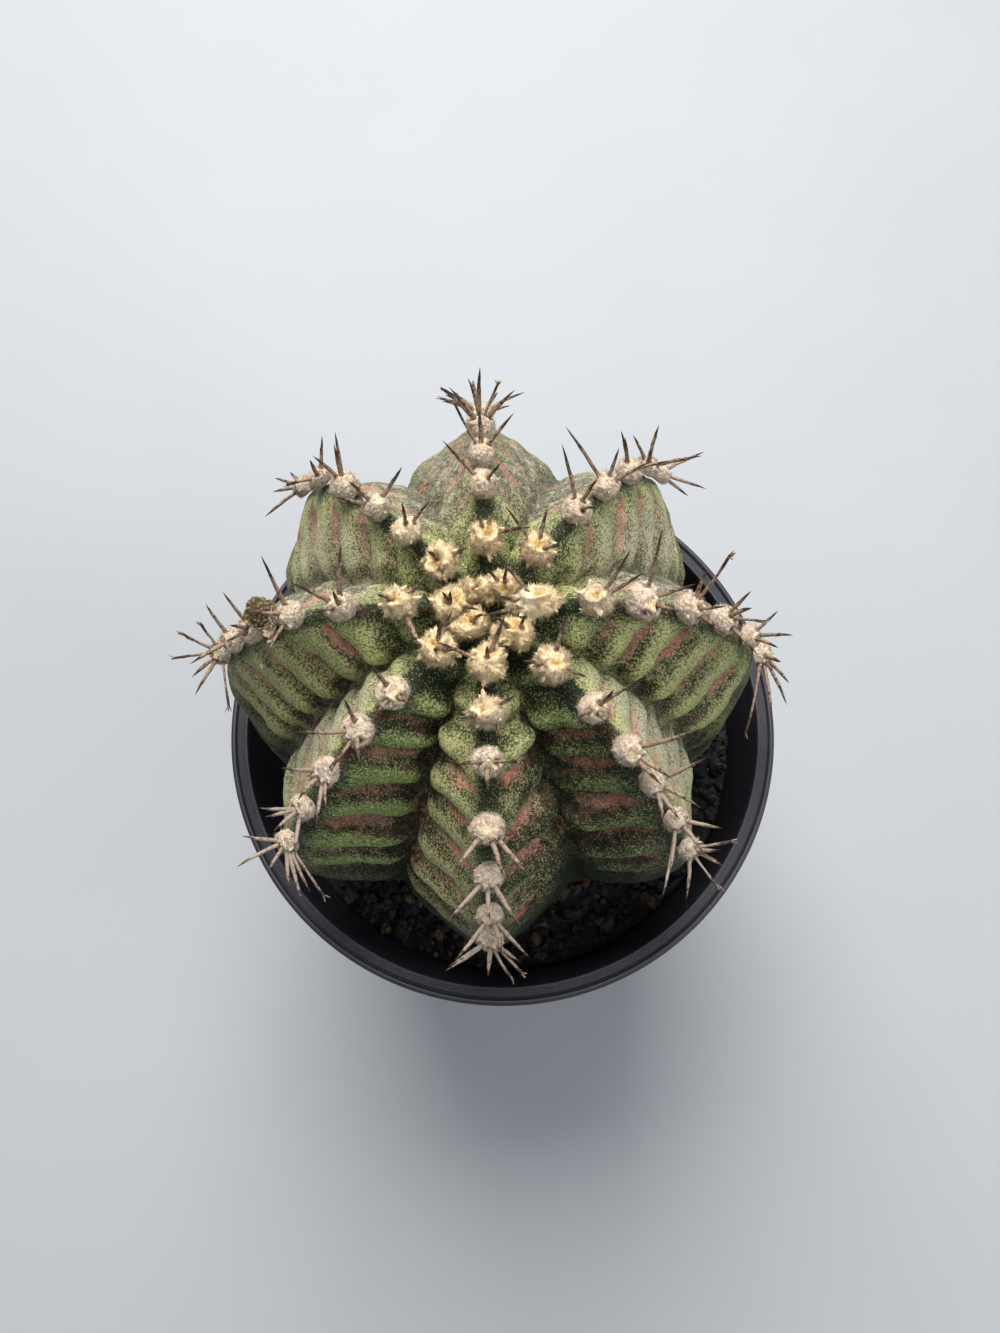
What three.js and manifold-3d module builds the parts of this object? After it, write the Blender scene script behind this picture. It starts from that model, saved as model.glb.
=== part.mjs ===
// A ribbed globular cactus in a round plastic nursery pot, in millimetres, +Z up.
// The origin is the centre of the pot's flat base. -Y is the front and +X the right.
import * as THREE from "three";
import { mergeVertices } from "three/addons/utils/BufferGeometryUtils.js";
import Module from "manifold-3d";

// Driving dimensions of the pot
const RIM_RADIUS = 37.5;
const POT_HEIGHT = 66;
const BASE_INSIDE_RADIUS = 25;
const WALL = 1.1;
const LIP_WIDTH = 2.4;
const SKIRT_HEIGHT = 9;
const SKIRT_WALL = 0.9;
const FLOOR_THICKNESS = 1.6;
const FOOT_CHAMFER = 0.8;
const DRAIN_HOLES = 6;
const DRAIN_RADIUS = 3;
const DRAIN_CIRCLE = 16;
const DRAIN_SIDES = 16;
const POT_SIDES = 48;

// Driving dimensions of the soil
const SOIL_BELOW_RIM = 11;
const SOIL_SLOPE = 1.6;
const SOIL_RIPPLE = { height: 0.5, waves: 5, twist: 3 };
const SOIL_RINGS = 5;

// Driving dimensions of the plant. Heights are above the rim, radii are from the plant's own axis.
const GAP = 0.3;
const PLANT_X = -1.7;
const PLANT_Y = 3;
const CREST = { radius: 33.8, widest: 11, top: 38.7, below: 31, round: 3.3, slope: 1.3 };
const VALLEY = { radius: 29, widest: 4, top: 36.6, below: 24, round: 2, slope: 1.45 };
const BELOW_ROUNDNESS = 1.45;
const BACK_FULLNESS = 1.6;
const CROWN_HOLLOW_RADIUS = 4;
const RIB_EDGE = 0.1;
const RIB_SHARPNESS = 1.4;
const RIB_SIDES = 8;
const UPPER_RINGS = 14;
const LOWER_RINGS = 7;
const RINGS_TO_CROWN = 1.25;

// Each rib: its direction in degrees from +X, and how far down its crest each cushion sits from the crown
const RIBS = [
  { name: "right", angle: 2.5, cushions: [5.4, 11.4, 16.2, 21.8, 27.7, 35.5, 43.5] },
  { name: "back_right", angle: 48.5, cushions: [3.2, 8, 14.3, 19.4, 24.8, 31.8, 40] },
  { name: "back", angle: 92, cushions: [2.2, 7.4, 13.7, 18.2, 23.8, 31, 38.5] },
  { name: "back_left", angle: 136, cushions: [3, 6.9, 11.6, 16.4, 22.3, 29.8, 40] },
  { name: "left", angle: 180, cushions: [4.2, 9, 15, 20.9, 27.3, 32.3, 37.5] },
  { name: "front_left", angle: 224.5, cushions: [3, 7.1, 13.2, 18.1, 23.9, 30.1, 37.7] },
  { name: "front", angle: 270.5, cushions: [6.6, 11.4, 16, 22.6, 28.5, 35, 40.6] },
  { name: "front_right", angle: 315, cushions: [4.8, 9.4, 15.1, 20.6, 25.4, 32, 39.3] },
];

// Driving dimensions of the woolly cushions and their spines
const CUSHION = { side: 1.55, along: 1.6, height: 1.25, sunk: 0.1 };
const YOUNG_CUSHION = { side: 1, along: 1.05, height: 1, sunk: 0 };
const EGG_SIDES = 8;
const EGG_RINGS = 4;
const SPINE_ROOT = 0.34;
const SPINE_SIDES = 3;
const SPINE_START = 3;
const SPINE_GROWTH = 0.11;

// The ways that spines point: across the rib, down it and out of it
const FIRST_WAYS = [[0, 0.2, 1]];
const SECOND_WAYS = [[0.5, 0, 1], [-0.5, 0, 1]];
const SIDE_WAYS = [[1, 0.35, 0.45], [-1, 0.35, 0.45]];
const LOWEST_WAY = [0, 1, 0.3];

// The dried flower, and its outline as shares of its radius and height
const DRIED_FLOWER = { rib: "left", down: 24.3, radius: 1.15, height: 2.6, lift: 0.45, sides: 10 };
const FLOWER_OUTLINE = [[0, 0], [0.45, 0], [0.55, 0.25], [1, 0.5], [0.95, 0.8], [0.5, 1], [0, 0.95]];

const DEGREE = Math.PI / 180;
const WELD = 1e-4;
const THETA_STEP = 0.002;

const black = new THREE.MeshStandardMaterial({ color: 0x17161a, roughness: 0.5, metalness: 0 });
const soilBrown = new THREE.MeshStandardMaterial({ color: 0x1c1714, roughness: 0.95, metalness: 0 });
const skinGreen = new THREE.MeshStandardMaterial({ color: 0x3c5a2c, roughness: 0.6, metalness: 0 });
const woolCream = new THREE.MeshStandardMaterial({ color: 0xd8c6a4, roughness: 0.95, metalness: 0 });
const driedBrown = new THREE.MeshStandardMaterial({ color: 0x6d5433, roughness: 0.9, metalness: 0 });

const wasm = await Module();
wasm.setup();

// A closed geometry as a solid that can be joined and cut.
function solidOf(geometry) {
  const bare = geometry.clone();
  bare.deleteAttribute("normal");
  bare.deleteAttribute("uv");
  const welded = mergeVertices(bare, WELD);
  return new wasm.Manifold(
    new wasm.Mesh({
      numProp: 3,
      vertProperties: new Float32Array(welded.attributes.position.array),
      triVerts: new Uint32Array(welded.index.array),
    }),
  );
}

// A solid as a geometry again.
function geometryOf(solid) {
  const mesh = solid.getMesh();
  const geometry = new THREE.BufferGeometry();
  geometry.setAttribute("position", new THREE.BufferAttribute(mesh.vertProperties, 3));
  geometry.setIndex(new THREE.BufferAttribute(mesh.triVerts, 1));
  geometry.computeVertexNormals();
  return geometry;
}

// The largest body of a solid, without the crumbs that a cut leaves.
function largestBody(solid) {
  return solid.decompose().reduce((best, body) => (body.volume() > best.volume() ? body : best));
}

function named(name, geometry, material) {
  const mesh = new THREE.Mesh(geometry, material);
  mesh.name = name;
  return mesh;
}

// A lathed solid about +Z from [radius, height] pairs that start and end on the axis.
function turned(profile, sides) {
  const points = profile.map(([radius, height]) => new THREE.Vector2(radius, height));
  return new THREE.LatheGeometry(points, sides).rotateX(Math.PI / 2);
}

// The pot: one tapered wall with a flat floor, a flat lip and a skirt that hangs from the lip
const wallTopRadius = RIM_RADIUS - LIP_WIDTH;

function insideRadius(height) {
  const share = (height - FLOOR_THICKNESS) / (POT_HEIGHT - FLOOR_THICKNESS);
  return BASE_INSIDE_RADIUS + (wallTopRadius - BASE_INSIDE_RADIUS) * share;
}

function pot() {
  const lipEdge = 0.5;
  const lipThickness = 1.4;
  const underLip = POT_HEIGHT - lipThickness;
  const skirtFoot = POT_HEIGHT - SKIRT_HEIGHT;
  const footRadius = insideRadius(0) + WALL;
  const groove = { out: 1, width: 0.35, depth: 0.4 };
  const profile = [
    [0, 0],
    [footRadius - FOOT_CHAMFER, 0],
    [footRadius, FOOT_CHAMFER],
    [insideRadius(underLip) + WALL, underLip],
    [RIM_RADIUS - SKIRT_WALL, underLip],
    [RIM_RADIUS - SKIRT_WALL, skirtFoot],
    [RIM_RADIUS - lipEdge / 2, skirtFoot],
    [RIM_RADIUS, POT_HEIGHT - lipEdge],
    [RIM_RADIUS - lipEdge, POT_HEIGHT],
    [RIM_RADIUS - groove.out, POT_HEIGHT],
    [RIM_RADIUS - groove.out - groove.width / 2, POT_HEIGHT - groove.depth],
    [RIM_RADIUS - groove.out - groove.width, POT_HEIGHT],
    [wallTopRadius + lipEdge / 2, POT_HEIGHT],
    [wallTopRadius, POT_HEIGHT - lipEdge],
    [BASE_INSIDE_RADIUS, FLOOR_THICKNESS],
    [0, FLOOR_THICKNESS],
  ];
  let solid = solidOf(turned(profile, POT_SIDES));
  const drillLength = 4 * FLOOR_THICKNESS;
  const drill = new THREE.CylinderGeometry(DRAIN_RADIUS, DRAIN_RADIUS, drillLength, DRAIN_SIDES);
  drill.rotateX(Math.PI / 2);
  for (let i = 0; i < DRAIN_HOLES; i++) {
    const angle = (2 * Math.PI * i) / DRAIN_HOLES;
    const hole = drill.clone().translate(DRAIN_CIRCLE * Math.cos(angle), DRAIN_CIRCLE * Math.sin(angle), 0);
    solid = solid.subtract(solidOf(hole));
  }
  return named("pot", geometryOf(solid), black);
}

// The plant's skin. theta runs from 0 at the crown through 90 degrees at the widest place to 180 at the root.
// A profile is a superellipse above its widest place and a flatter one below it.
function profilePoint(shape, theta) {
  const sine = Math.max(Math.sin(theta), 0);
  const cosine = Math.cos(theta);
  if (cosine >= 0) {
    const height = (shape.top - shape.widest) * Math.pow(cosine, 2 / shape.slope);
    return { radius: shape.radius * Math.pow(sine, 2 / shape.round), height: shape.widest + height };
  }
  const depth = shape.below * Math.pow(-cosine, 2 / BELOW_ROUNDNESS);
  return { radius: shape.radius * Math.pow(sine, 2 / BELOW_ROUNDNESS), height: shape.widest - depth };
}

// The crest of a rib dips into the hollow of the crown.
function crestPoint(theta) {
  const point = profilePoint(CREST, theta);
  const dip = CREST.top - VALLEY.top;
  point.height -= dip * Math.exp(-((point.radius / CROWN_HOLLOW_RADIUS) ** 2));
  return point;
}

// The furrow between two ribs reaches further out at the back of the plant.
function valleyPoint(theta, azimuth) {
  const point = profilePoint(VALLEY, theta);
  point.radius *= 1 + (BACK_FULLNESS * Math.sin(azimuth)) / VALLEY.radius;
  return point;
}

// Where a direction counted in ribs, such as 0.5 for halfway from the first rib to the second, points.
function azimuthOf(turn) {
  const from = Math.floor(turn);
  const start = RIBS[from % RIBS.length].angle;
  const next = RIBS[(from + 1) % RIBS.length].angle;
  const sweep = (next - start + 360) % 360;
  return (start + (turn - from) * sweep) * DEGREE;
}

// How much of a place belongs to the crest: 1 on the rib's edge, 0 in the furrow.
function crestShare(turn) {
  const away = 2 * Math.abs(turn - Math.round(turn));
  const soft = (x) => Math.sqrt(x * x + RIB_EDGE * RIB_EDGE) - RIB_EDGE;
  return Math.pow(1 - soft(away) / soft(1), RIB_SHARPNESS);
}

function skinPoint(turn, theta) {
  const azimuth = azimuthOf(turn);
  const crest = crestPoint(theta);
  const valley = valleyPoint(theta, azimuth);
  const share = crestShare(turn);
  const radius = THREE.MathUtils.lerp(valley.radius, crest.radius, share);
  const height = THREE.MathUtils.lerp(valley.height, crest.height, share);
  return new THREE.Vector3(
    PLANT_X + radius * Math.cos(azimuth),
    PLANT_Y + radius * Math.sin(azimuth),
    POT_HEIGHT + height,
  );
}

// The rings of the skin from the crown to the root, closer together near the crown.
function ringThetas() {
  const quarter = Math.PI / 2;
  const thetas = [];
  for (let i = 1; i <= UPPER_RINGS; i++) {
    thetas.push(quarter * Math.pow(i / UPPER_RINGS, RINGS_TO_CROWN));
  }
  for (let i = 1; i < LOWER_RINGS; i++) {
    thetas.push(quarter * (1 + i / LOWER_RINGS));
  }
  return thetas;
}

// The closed skin, or the same skin grown outwards by a clearance.
function skinGeometry(clearance) {
  const columns = RIBS.length * RIB_SIDES;
  const thetas = ringThetas();
  const positions = [];
  for (const theta of thetas) {
    for (let column = 0; column < columns; column++) {
      positions.push(...skinPoint(column / RIB_SIDES, theta).toArray());
    }
  }
  const crown = positions.length / 3;
  positions.push(...skinPoint(0, 0).toArray());
  const root = crown + 1;
  positions.push(PLANT_X, PLANT_Y, POT_HEIGHT + CREST.widest - CREST.below);
  const faces = [];
  for (let column = 0; column < columns; column++) {
    const next = (column + 1) % columns;
    faces.push(crown, column, next);
    for (let ring = 0; ring + 1 < thetas.length; ring++) {
      const upper = ring * columns;
      const lower = upper + columns;
      faces.push(upper + column, lower + column, lower + next);
      faces.push(upper + column, lower + next, upper + next);
    }
    const last = (thetas.length - 1) * columns;
    faces.push(root, last + next, last + column);
  }
  const geometry = new THREE.BufferGeometry();
  geometry.setAttribute("position", new THREE.Float32BufferAttribute(positions, 3));
  geometry.setIndex(faces);
  geometry.computeVertexNormals();
  const places = geometry.attributes.position;
  const normals = geometry.attributes.normal;
  for (let i = 0; i < places.count; i++) {
    places.setXYZ(
      i,
      places.getX(i) + clearance * normals.getX(i),
      places.getY(i) + clearance * normals.getY(i),
      places.getZ(i) + clearance * normals.getZ(i),
    );
  }
  return geometry;
}

const grownSkin = solidOf(skinGeometry(GAP));

// The soil fills the pot up to a little under the rim, with a hollow where the plant sits
function soil() {
  const bottom = FLOOR_THICKNESS + GAP;
  const top = POT_HEIGHT - SOIL_BELOW_RIM;
  const profile = [
    [0, bottom],
    [insideRadius(bottom) - GAP, bottom],
  ];
  for (let ring = 0; ring <= SOIL_RINGS; ring++) {
    profile.push([(insideRadius(top) - GAP) * (1 - ring / SOIL_RINGS), top]);
  }
  const geometry = turned(profile, POT_SIDES);
  const places = geometry.attributes.position;
  for (let i = 0; i < places.count; i++) {
    if (places.getZ(i) < top - GAP) {
      continue;
    }
    const radius = Math.hypot(places.getX(i), places.getY(i));
    const azimuth = Math.atan2(places.getY(i), places.getX(i));
    const share = radius / insideRadius(top);
    const wave = Math.sin(SOIL_RIPPLE.waves * azimuth + SOIL_RIPPLE.twist * share);
    const height = top + (SOIL_SLOPE * Math.cos(azimuth) + SOIL_RIPPLE.height * wave) * share;
    const atWall = radius > insideRadius(top) - 2 * GAP;
    const reach = atWall ? (insideRadius(height) - GAP) / radius : 1;
    places.setXYZ(i, places.getX(i) * reach, places.getY(i) * reach, height);
  }
  return named("soil", geometryOf(largestBody(solidOf(geometry).subtract(grownSkin))), soilBrown);
}

function cactusBody() {
  return named("cactus_body", skinGeometry(0), skinGreen);
}

// A place on a rib's edge that is a given way down from the crown, with the directions there
function seatOnCrest(rib, down) {
  const turn = RIBS.indexOf(rib);
  let theta = THETA_STEP;
  let travelled = 0;
  let here = skinPoint(turn, 0);
  while (travelled < down) {
    const next = skinPoint(turn, theta);
    travelled += next.distanceTo(here);
    here = next;
    theta += THETA_STEP;
  }
  const along = skinPoint(turn, theta + THETA_STEP).sub(here).normalize();
  const azimuth = azimuthOf(turn);
  const side = new THREE.Vector3(-Math.sin(azimuth), Math.cos(azimuth), 0);
  return { point: here, along, side, out: new THREE.Vector3().crossVectors(along, side).normalize() };
}

// An egg shape on a seat, with its widths across, along and out of the rib's edge.
function egg(seat, size) {
  const geometry = new THREE.SphereGeometry(1, EGG_SIDES, EGG_RINGS).rotateX(Math.PI / 2);
  geometry.scale(size.side, size.along, size.height);
  const turnTo = new THREE.Matrix4().makeBasis(seat.side.clone().negate(), seat.along, seat.out);
  const centre = seat.point.clone().addScaledVector(seat.out, size.height - size.sunk);
  return geometry.applyMatrix4(turnTo.setPosition(centre));
}

// A tapered spine from inside its cushion, along a direction given in the seat's own directions.
function spine(seat, size, [across, down, up], length) {
  const direction = seat.side.clone().multiplyScalar(across);
  direction.addScaledVector(seat.along, down).addScaledVector(seat.out, up).normalize();
  const geometry = new THREE.ConeGeometry(SPINE_ROOT, length, SPINE_SIDES).translate(0, length / 2, 0);
  const turnTo = new THREE.Quaternion().setFromUnitVectors(new THREE.Vector3(0, 1, 0), direction);
  const centre = seat.point.clone().addScaledVector(seat.out, size.height - size.sunk);
  return geometry.applyQuaternion(turnTo).translate(centre.x, centre.y, centre.z);
}

// The ways of one cushion's spines: the youngest stand up at the crown, and the others lie back.
function spineWays(index, count) {
  if (index === 0) {
    return FIRST_WAYS;
  }
  if (index === 1) {
    return SECOND_WAYS;
  }
  return index === count - 1 ? [...SIDE_WAYS, LOWEST_WAY] : SIDE_WAYS;
}

function areole(rib, index) {
  const down = rib.cushions[index];
  const seat = seatOnCrest(rib, down);
  const size = index === 0 ? YOUNG_CUSHION : CUSHION;
  let solid = solidOf(egg(seat, size));
  for (const way of spineWays(index, rib.cushions.length)) {
    solid = solid.add(solidOf(spine(seat, size, way, SPINE_START + SPINE_GROWTH * down)));
  }
  const cut = largestBody(solid.subtract(grownSkin));
  return named(`areole_${rib.name}_${index + 1}`, geometryOf(cut), woolCream);
}

// A flower that dried on its rib, between two cushions
function driedFlower() {
  const rib = RIBS.find((each) => each.name === DRIED_FLOWER.rib);
  const seat = seatOnCrest(rib, DRIED_FLOWER.down);
  const { radius, height, lift, sides } = DRIED_FLOWER;
  const geometry = turned(FLOWER_OUTLINE.map(([out, up]) => [out * radius, up * height]), sides);
  const turnTo = new THREE.Matrix4().makeBasis(seat.side.clone().negate(), seat.along, seat.out);
  geometry.applyMatrix4(turnTo.setPosition(seat.point.clone().addScaledVector(seat.out, lift)));
  return named("dried_flower", geometryOf(largestBody(solidOf(geometry).subtract(grownSkin))), driedBrown);
}

const plant = new THREE.Group();
plant.add(pot(), soil(), cactusBody(), driedFlower());
for (const rib of RIBS) {
  for (let index = 0; index < rib.cushions.length; index++) {
    plant.add(areole(rib, index));
  }
}

export default plant;
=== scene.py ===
import math

import bmesh
import bpy
import numpy as np
from mathutils import Matrix, Vector, noise


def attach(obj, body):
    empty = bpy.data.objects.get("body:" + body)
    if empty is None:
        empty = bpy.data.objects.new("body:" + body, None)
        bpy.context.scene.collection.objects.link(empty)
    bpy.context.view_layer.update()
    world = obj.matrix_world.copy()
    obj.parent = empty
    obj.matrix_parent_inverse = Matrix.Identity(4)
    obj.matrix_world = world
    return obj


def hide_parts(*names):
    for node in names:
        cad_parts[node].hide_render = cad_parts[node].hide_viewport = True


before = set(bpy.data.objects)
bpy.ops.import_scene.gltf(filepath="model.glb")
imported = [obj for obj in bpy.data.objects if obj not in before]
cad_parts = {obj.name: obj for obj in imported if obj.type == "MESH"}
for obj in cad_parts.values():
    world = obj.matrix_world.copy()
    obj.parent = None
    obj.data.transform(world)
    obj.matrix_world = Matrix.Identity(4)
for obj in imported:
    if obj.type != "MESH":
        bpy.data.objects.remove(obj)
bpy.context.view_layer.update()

MM = 0.001
SEED = 11

# The pot
RIM_RADIUS = 37.5
POT_HEIGHT = 66
BASE_INSIDE_RADIUS = 25
WALL = 1.1
LIP_WIDTH = 2.4
SKIRT_HEIGHT = 9
SKIRT_WALL = 0.9
FLOOR_THICKNESS = 1.6
DRAIN_HOLES = 6
DRAIN_RADIUS = 3
DRAIN_CIRCLE = 16
DRAIN_SIDES = 40
BASE_DISC_RADIUS = 21.5

# The soil. No grit lies nearer to the plant's axis than its foot.
SOIL_TOP = POT_HEIGHT - 11
SOIL_SLOPE = 1.6
GAP = 0.3
PLANT_FOOT = 15.5
GRIT_REACH = 34

# The plant: heights are above the rim, radii are from the plant's own axis
PLANT_X = -1.7
PLANT_Y = 3
CREST = {"radius": 33.8, "widest": 11, "top": 38.7, "below": 31, "round": 3.3, "slope": 1.3}
VALLEY = {"radius": 29, "widest": 4, "top": 36.6, "below": 24, "round": 2, "slope": 1.45}
BELOW_ROUNDNESS = 1.45
BACK_FULLNESS = 1.6
CROWN_HOLLOW_RADIUS = 4
RIB_EDGE = 0.1
RIB_SHARPNESS = 1.4
SIDE_COLUMNS = 33
RIB_COLUMNS = 2 * SIDE_COLUMNS
SKIN_RINGS = 168
BURIED_RINGS = 8
BURIED_FROM = math.radians(145)

# Each rib: its direction in degrees from +X, and how far down its crest each cushion sits
RIBS = {
    "right": (2.5, [5.4, 11.4, 16.2, 21.8, 27.7, 35.5, 43.5]),
    "back_right": (48.5, [3.2, 8, 14.3, 19.4, 24.8, 31.8, 40]),
    "back": (92, [2.2, 7.4, 13.7, 18.2, 23.8, 31, 38.5]),
    "back_left": (136, [3, 6.9, 11.6, 16.4, 22.3, 29.8, 40]),
    "left": (180, [4.2, 9, 15, 20.9, 27.3, 32.3, 37.5]),
    "front_left": (224.5, [3, 7.1, 13.2, 18.1, 23.9, 30.1, 37.7]),
    "front": (270.5, [6.6, 11.4, 16, 22.6, 28.5, 35, 40.6]),
    "front_right": (315, [4.8, 9.4, 15.1, 20.6, 25.4, 32, 39.3]),
}
RIB_NAMES = list(RIBS)
RIB_COUNT = len(RIBS)
ANGLES = np.array([RIBS[name][0] for name in RIB_NAMES], float)

# The camera that the photograph fits, and its picture
CAMERA_PLACE = Vector((-0.36, -31.03, 200.88))
CAMERA_TILT = math.radians(73.98)
FOCAL_PIXELS = 1000
PICTURE_WIDTH = 1000
PICTURE_HEIGHT = 1333
SENSOR = 36

# Where the spines of each cushion end in the picture, in its pixels, from the crown outwards
SPINE_TIPS = {
    "right": [
        [(496, 552), (497, 596), (481, 616)],
        [(631, 549), (643, 573)],
        [(662, 528), (696, 584), (681, 612), (652, 629)],
        [(707, 569), (730, 555), (726, 606), (726, 637)],
        [(751, 591), (752, 608), (764, 622), (757, 654)],
        [(778, 611), (793, 635), (778, 648)],
        [(789, 683), (787, 705), (772, 724), (745, 735), (781, 662)],
    ],
    "back_right": [
        [(486, 568), (507, 567)],
        [(547, 510), (506, 507), (561, 545)],
        [(562, 444), (598, 478), (597, 508)],
        [(566, 427), (619, 448), (649, 462)],
        [(625, 437), (621, 431), (669, 461)],
        [(633, 435), (651, 450), (702, 456), (659, 425)],
        [(704, 452), (706, 489), (688, 496)],
    ],
    "back": [
        [],
        [(476, 510), (494, 502), (531, 527)],
        [(443, 441), (501, 463)],
        [(454, 403), (479, 409), (514, 413)],
        [(442, 390), (449, 387), (468, 378), (480, 367), (499, 382), (515, 390)],
        [],
        [],
    ],
    "back_left": [
        [],
        [(468, 547), (427, 551), (442, 575)],
        [(402, 502), (430, 500)],
        [(402, 467), (334, 497), (349, 481)],
        [(334, 444), (335, 432), (313, 456)],
        [(322, 436), (287, 485), (310, 460)],
        [(273, 492), (290, 472), (275, 478), (265, 517)],
    ],
    "left": [
        [(442, 592), (450, 591), (479, 610)],
        [(426, 577), (428, 661), (377, 594)],
        [(341, 545), (291, 583), (312, 613), (333, 591)],
        [(261, 555), (249, 612), (263, 665)],
        [(223, 592), (230, 625), (226, 642)],
        [(206, 604), (190, 664)],
        [(181, 633), (200, 623), (174, 658), (195, 695), (192, 677), (229, 708)],
    ],
    "front_left": [
        [(483, 614)],
        [(440, 620), (452, 611), (455, 650), (436, 649)],
        [(371, 664), (415, 706), (373, 718)],
        [(344, 699), (294, 732), (330, 768), (360, 763)],
        [(281, 768), (298, 800), (316, 825), (326, 811)],
        [(259, 808), (265, 817), (274, 831), (295, 858)],
        [(242, 836), (237, 867), (267, 872), (290, 890), (303, 903), (310, 892), (325, 897)],
    ],
    "front": [
        [(437, 642), (487, 646), (505, 616)],
        [(516, 695), (458, 719)],
        [(459, 764), (519, 761), (488, 791)],
        [(453, 874), (504, 877), (531, 878)],
        [(447, 922), (490, 920), (520, 925)],
        [(455, 960), (529, 957), (502, 955)],
        [(445, 971), (449, 966), (488, 976), (524, 975), (512, 978), (520, 962)],
    ],
    "front_right": [
        [(492, 616), (525, 615)],
        [(568, 612), (523, 661), (588, 678)],
        [(638, 680), (614, 690), (577, 719), (614, 728)],
        [(703, 728), (662, 785), (671, 778)],
        [(706, 758), (701, 808), (663, 822), (680, 820)],
        [(722, 828), (668, 879), (703, 853), (662, 897)],
        [(732, 841), (719, 888), (686, 900), (723, 866), (720, 850)],
    ],
}

# How the spines that the picture hides lie: across the rib, down it and out of it
HIDDEN_WAYS = [
    (1, 0.2, 0.5), (-1, 0.3, 0.45), (0.6, 1, 0.4), (-0.5, 1, 0.45), (0.05, 1, 0.7), (0.9, -0.5, 0.6),
]
HIDDEN_LENGTH = 5.6

# How long a spine is at least, as a share of the gap from its start to the ray that its tip is on
RAY_SHARE = 1.06


# Small helpers for numbers
def smooth(low, high, x):
    t = np.clip((np.asarray(x, float) - low) / (high - low), 0, 1)
    return t * t * (3 - 2 * t)


def bell(x, width):
    return np.exp(-((np.asarray(x, float) / width) ** 2))


def field(points, size, seed):
    """Smooth noise, about -0.7 to 0.7, at each row of points, with lumps about as wide as size."""
    shift = Vector((7.31 * seed, 3.17 * seed, 5.77 * seed))
    return np.array([noise.noise(Vector(p) / size + shift) for p in points])


def unit(vectors):
    return vectors / np.maximum(np.linalg.norm(vectors, axis=-1, keepdims=True), 1e-9)


# Meshes
def add_object(name, data):
    made = bpy.data.objects.new(name, data)
    bpy.context.scene.collection.objects.link(made)
    return made


def make_piece(name, points, faces, finish, values=None, rounded=True):
    """A named mesh of points in millimetres that rides on the pot."""
    mesh = bpy.data.meshes.new(name)
    mesh.from_pydata((np.asarray(points) * MM).tolist(), [], [tuple(face) for face in faces])
    for key, value in (values or {}).items():
        layer = mesh.attributes.new(key, "FLOAT", "POINT")
        layer.data.foreach_set("value", np.asarray(value, np.float32))
    mesh.materials.append(finish)
    if rounded:
        mesh.shade_smooth()
    piece = add_object(name, mesh)
    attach(piece, "root")
    return piece


class Heap:
    """Many small shapes that become one mesh, with a value of each kind at each point."""

    def __init__(self, kinds):
        self.kinds = kinds
        self.points = []
        self.faces = []
        self.values = {kind: [] for kind in kinds}
        self.count = 0

    def add(self, points, faces, **values):
        self.points.append(points)
        self.faces.extend([tuple(i + self.count for i in face) for face in faces])
        self.count += len(points)
        for kind in self.kinds:
            self.values[kind].append(np.broadcast_to(values.get(kind, 0.0), len(points)))

    def piece(self, name, finish, slot, rounded=True):
        values = {kind: np.concatenate(parts) for kind, parts in self.values.items()}
        return make_piece(name, np.concatenate(self.points), self.faces, finish, values, rounded)


def round_shell(steps):
    """The directions and faces of an evenly divided round shell."""
    shell = bmesh.new()
    bmesh.ops.create_icosphere(shell, subdivisions=steps, radius=1)
    directions = np.array([v.co for v in shell.verts], float)
    faces = [tuple(v.index for v in face.verts) for face in shell.faces]
    shell.free()
    return unit(directions), faces


FINE_SHELL = round_shell(5)
PLAIN_SHELL = round_shell(4)
STONE_SHELL = round_shell(2)
CRUMB_SHELL = round_shell(1)


# The plant's skin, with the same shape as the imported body. theta runs from the crown to the root.
def profile(shape, theta):
    sine = np.maximum(np.sin(theta), 0)
    cosine = np.cos(theta)
    upper = cosine >= 0
    rise = (shape["top"] - shape["widest"]) * np.maximum(cosine, 0) ** (2 / shape["slope"])
    fall = shape["below"] * np.maximum(-cosine, 0) ** (2 / BELOW_ROUNDNESS)
    reach = np.where(upper, sine ** (2 / shape["round"]), sine ** (2 / BELOW_ROUNDNESS))
    return shape["radius"] * reach, shape["widest"] + np.where(upper, rise, -fall)


def azimuth_of(turn):
    """The direction of a turn, which is counted in ribs: 0.5 is halfway from the first to the second."""
    start = np.floor(turn).astype(int)
    first = ANGLES[start % RIB_COUNT]
    sweep = (ANGLES[(start + 1) % RIB_COUNT] - first) % 360
    return np.radians(first + (turn - start) * sweep)


def crest_share(turn):
    """1 on a rib's edge and 0 in the furrow."""
    away = 2 * np.abs(turn - np.round(turn))

    def soft(x):
        return np.sqrt(x * x + RIB_EDGE * RIB_EDGE) - RIB_EDGE

    return np.maximum(1 - soft(away) / soft(1.0), 0) ** RIB_SHARPNESS


def skin_points(turn, theta):
    azimuth = azimuth_of(turn)
    crest_radius, crest_height = profile(CREST, theta)
    crest_height = crest_height - (CREST["top"] - VALLEY["top"]) * bell(crest_radius, CROWN_HOLLOW_RADIUS)
    valley_radius, valley_height = profile(VALLEY, theta)
    valley_radius = valley_radius * (1 + BACK_FULLNESS * np.sin(azimuth) / VALLEY["radius"])
    share = crest_share(turn)
    radius = valley_radius + (crest_radius - valley_radius) * share
    height = valley_height + (crest_height - valley_height) * share
    x = PLANT_X + radius * np.cos(azimuth)
    y = PLANT_Y + radius * np.sin(azimuth)
    return np.stack([x, y, POT_HEIGHT + height], axis=-1)


CREST_THETAS = np.arange(0, math.pi, 0.002)


def line_down(turn):
    """The points of the skin from crown to root at one turn, and how far each is from the crown."""
    points = skin_points(np.full(len(CREST_THETAS), float(turn)), CREST_THETAS)
    steps = np.linalg.norm(np.diff(points, axis=0), axis=1)
    return points, np.concatenate([[0], np.cumsum(steps)])


CREST_LINES = [line_down(rib) for rib in range(RIB_COUNT)]


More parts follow.
